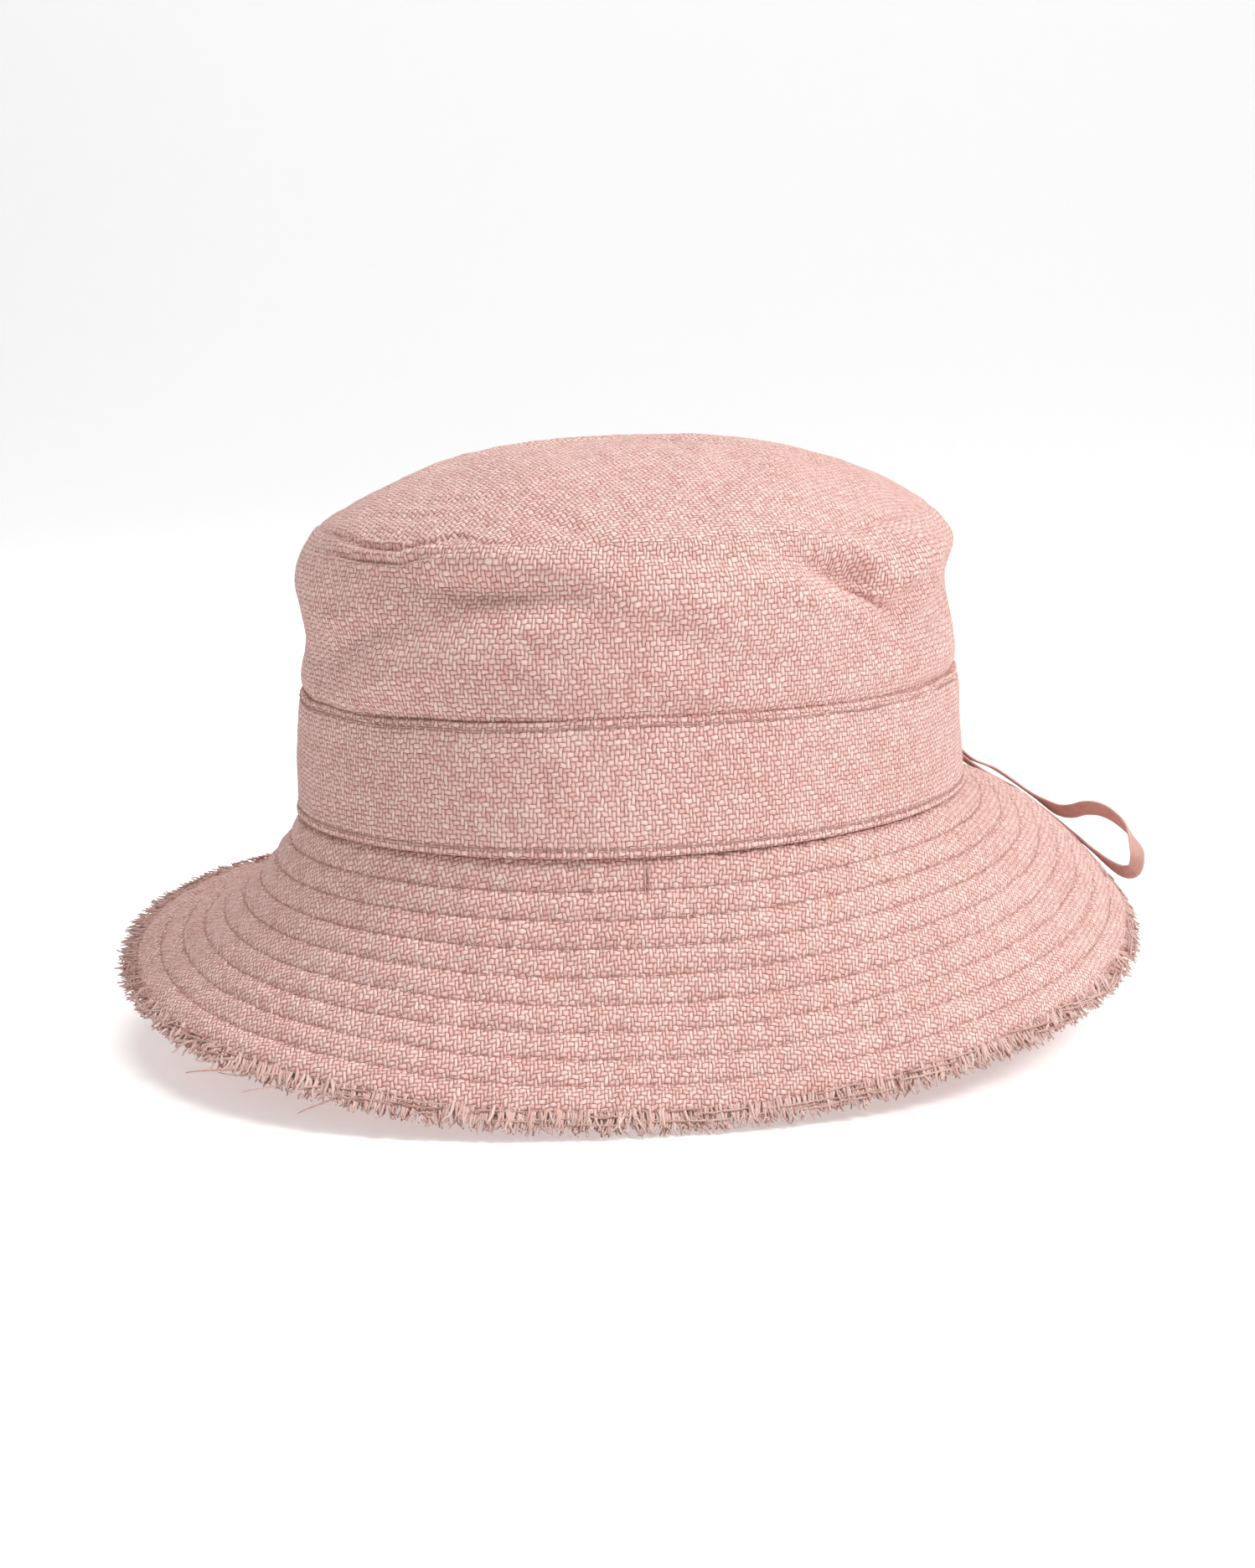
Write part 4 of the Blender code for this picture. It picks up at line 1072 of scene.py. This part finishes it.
def cross_yarns():
    """A few yarns that still lie across the fray, along the edge, and come loose at their ends."""
    dice = np.random.default_rng(SEED + 5)
    count = 260
    middle = dice.uniform(0, 360, count)
    half = dice.uniform(2.5, 9.0, count)
    t = np.linspace(-1, 1, 12)[None]
    degrees = middle[:, None] + t * np.degrees(half / FRAY_RADIUS)[:, None]
    lean = np.radians(grain_lean(middle))[:, None] * 0.6
    out = EDGE + dice.uniform(0.2, 4.2, count)[:, None] - t * half[:, None] * np.sin(lean) * 0.35
    out = out + np.cumsum(dice.normal(0, 0.12, (count, 12)), 1)
    level = dice.uniform(-0.5, 0.55, count)[:, None]
    lift = level + 0.5 * np.abs(t) ** 3 * dice.uniform(-0.5, 1.2, count)[:, None]
    paths = brim_base(degrees, out) + brim_normal(degrees, np.minimum(out, 74.0)) * lift[..., None]
    obj = tubes("fray_cross_yarns", paths, np.full(paths.shape[:2], 0.24) * (1.05 - 0.5 * t**4), SHADED_YARNS)


def stray_threads():
    paths, radius = [], []
    dice = np.random.default_rng(SEED + 9)
    t = np.linspace(0, 1, 16)
    for degrees, length, bearing, droop in STRAYS:
        bend = np.radians(bearing + 25 * t * dice.uniform(-0.6, 0.6))
        out = EDGE + 1.5 + length * t * np.cos(bend)
        turn = degrees + np.degrees(length * t * np.sin(bend) / FRAY_RADIUS)
        line = brim_base(turn, np.minimum(out, 92.0))
        line = line + brim_normal(turn, np.full(16, 72.0)) * (0.3 * np.sin(6 * t + degrees))[:, None]
        line[:, 2] -= droop * t**2
        paths.append(line)
        radius.append(0.36 * (1 - 0.6 * t**2))
    obj = tubes("fray_long_threads", np.array(paths), np.array(radius), SHADED_YARNS)


def seam_mark():
    """The short join in the brim's first channel, where its stitching starts."""
    outs = np.linspace(1.5, 9.4, 9)
    paths = []
    for k, shift in enumerate((-0.12, 0.14)):
        degrees = BRIM_GRAIN + shift * 2 + 0.05 * np.sin(outs + k)
        paths.append(brim_face(degrees, outs) + brim_normal(degrees, outs) * 0.06)
    obj = tubes("brim_join_threads", np.array(paths), np.full((2, 9), 0.2), SHADED_YARNS)


# ---- knot and the strap in the band ---------------------------------------------------------------
def knot_piece():
    """A flat knot: the strap wrapped twice round a small bundle."""
    t = np.linspace(0, 2 * np.pi, 120)
    wraps = ((3.0, 3.7, -0.3, 0.4), (3.4, 4.1, 0.5, 1.3))  # half depth, half height, sideways, slant
    for k, (deep, tall, shift, slant) in enumerate(wraps):
        line = np.stack([shift + slant * np.sin(t + 0.6), deep * np.cos(t), tall * np.sin(t)], -1) + KNOT
        looks = unit(np.stack([0 * t, np.cos(t) / deep, np.sin(t) / tall], -1))
        strap_mesh(f"bow_knot_wrap_{k + 1}", line, looks, "hat", "tie_knot" if k == 0 else None,
                   width=4.6 - 0.6 * k, thick=0.9)
    rows, sides = 24, 32
    a = np.linspace(0.02, np.pi - 0.02, rows)[:, None]
    b = np.arange(sides)[None] * 2 * np.pi / sides
    crease = 1 + 0.10 * np.sin(3 * b + 1.0) * np.sin(a) + 0.05 * np.sin(7 * b + 4 * a)
    core = np.stack(np.broadcast_arrays(4.3 * np.cos(a) * crease, 2.7 * np.sin(a) * np.cos(b) * crease,
                                        3.3 * np.sin(a) * np.sin(b) * crease), -1) + KNOT
    flat = np.stack(np.broadcast_arrays(np.arange(sides + 1)[None] * 0.1, a * 4), -1)
    bundle = grid_mesh("bow_knot_bundle", core, flat, STRAP, flip=True)


def strap_in_band():
    """The strap's run through the band's tunnel, both ends coming out of the slot into the knot."""
    first, last = 90.0 + 0.9, 450.0 - 0.9
    degrees = np.linspace(first, last, 260)
    depth = BAND_THICKNESS + GAP + STRAP_THICKNESS / 2
    line = band_spot(degrees, 0.5 + 0 * degrees, depth + 0 * degrees)
    looks = place(degrees, 1.0, 0.0)
    out_a = smooth_line([KNOT + (-0.8, -1.2, 0), line[0] + (0.1, 2.0, 0), line[0]], 14)[:-1]
    out_b = smooth_line([line[-1], line[-1] + (-0.1, 2.0, 0), KNOT + (0.8, -1.2, 0)], 14)[1:]
    line = np.concatenate([out_a, line, out_b])
    looks = np.concatenate([np.repeat(looks[:1], len(out_a), 0) + (-0.7, 0, 0), looks,
                            np.repeat(looks[-1:], len(out_b), 0) + (0.7, 0, 0)])
    strap_mesh("tie_strap_in_band", line, unit(looks), "hat", "tie_in_band")


crown_pieces()
lining_pieces()
sweatband_piece()
band_piece()
brim_pieces()
felt_piece()
fray("fray_upper", 0.82, 1, SEED, YARNS, 6.9, 0.42)
fray("fray_under", 1.0, -1, SEED + 1, SHADED_YARNS, 6.3, 0.40)
fray("fray_fuzz", 1.9, 1, SEED + 2, YARNS, 6.0, 0.26)
cross_yarns()
stray_threads()
seam_mark()
knot_piece()
strap_in_band()


# ---- floor, backdrop and light ---------------------------------------------------------------------
def stage():
    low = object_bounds()[0][2] - 0.0003
    curve = [(-3.0, 0.0), (1.6, 0.0)]
    curve += [(1.6 + 0.9 * np.sin(a), 0.9 - 0.9 * np.cos(a)) for a in np.linspace(0, np.pi / 2, 14)[1:]]
    curve += [(2.5, 4.0)]
    forward = -back * (1, 1, 0)
    forward /= np.linalg.norm(forward)
    points, faces = [], []
    for side in (-4.0, 4.0):
        for run, rise in curve:
            points.append(tuple(forward * run + right * side + (0, 0, low + rise)))
    n = len(curve)
    for i in range(n - 1):
        faces.append((i, n + i, n + i + 1, i + 1))
    mesh = bpy.data.meshes.new("floor")
    mesh.from_pydata(points, [], faces)
    for polygon in mesh.polygons:
        polygon.use_smooth = True
    material = bpy.data.materials.new("pale_floor")
    material.use_nodes = True
    shader = material.node_tree.nodes["Principled BSDF"]
    shader.inputs["Base Color"].default_value = (0.93, 0.93, 0.93, 1)
    shader.inputs["Roughness"].default_value = 0.9
    shader.inputs["Specular IOR Level"].default_value = 0.1
    shader.inputs["Emission Color"].default_value = (1.0, 1.0, 1.0, 1)
    shader.inputs["Emission Strength"].default_value = 0.36
    mesh.materials.append(material)
    floor = bpy.data.objects.new("floor", mesh)
    bpy.context.scene.collection.objects.link(floor)
    floor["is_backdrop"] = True


def lamp(name, offset, size, power, colour=(1.0, 1.0, 1.0)):
    """Soft square lamp aimed at the hat; offset is along image right, level forward-to-camera and up."""
    data = bpy.data.lights.new(name, "AREA")
    data.shape = "SQUARE"
    data.size, data.energy, data.color = size, power, colour
    obj = bpy.data.objects.new(name, data)
    towards = back * (1, 1, 0)
    towards /= np.linalg.norm(towards)
    spot = right * offset[0] + towards * offset[1] + np.array([0, 0, offset[2]])
    z = unit(spot)
    x = unit(np.cross((0, 0, 1.0), z))
    y = np.cross(z, x)
    obj.matrix_world = Matrix([(*(float(a[k]) for a in (x, y, z)), float(spot[k])) for k in range(3)]
                              + [(0, 0, 0, 1)])
    bpy.context.scene.collection.objects.link(obj)


stage()
lamp("key", (1.5, 0.55, 1.35), 0.7, 31.0)
lamp("fill", (-1.1, 1.4, 1.5), 1.4, 8.0)
lamp("top", (0.0, 0.3, 2.0), 1.0, 23.0)
world = bpy.data.worlds.new("studio")
world.use_nodes = True
world.node_tree.nodes["Background"].inputs["Color"].default_value = (1.0, 1.0, 1.0, 1)
world.node_tree.nodes["Background"].inputs["Strength"].default_value = 0.05
bpy.context.scene.world = world
bpy.context.scene.view_settings.view_transform = "Standard"
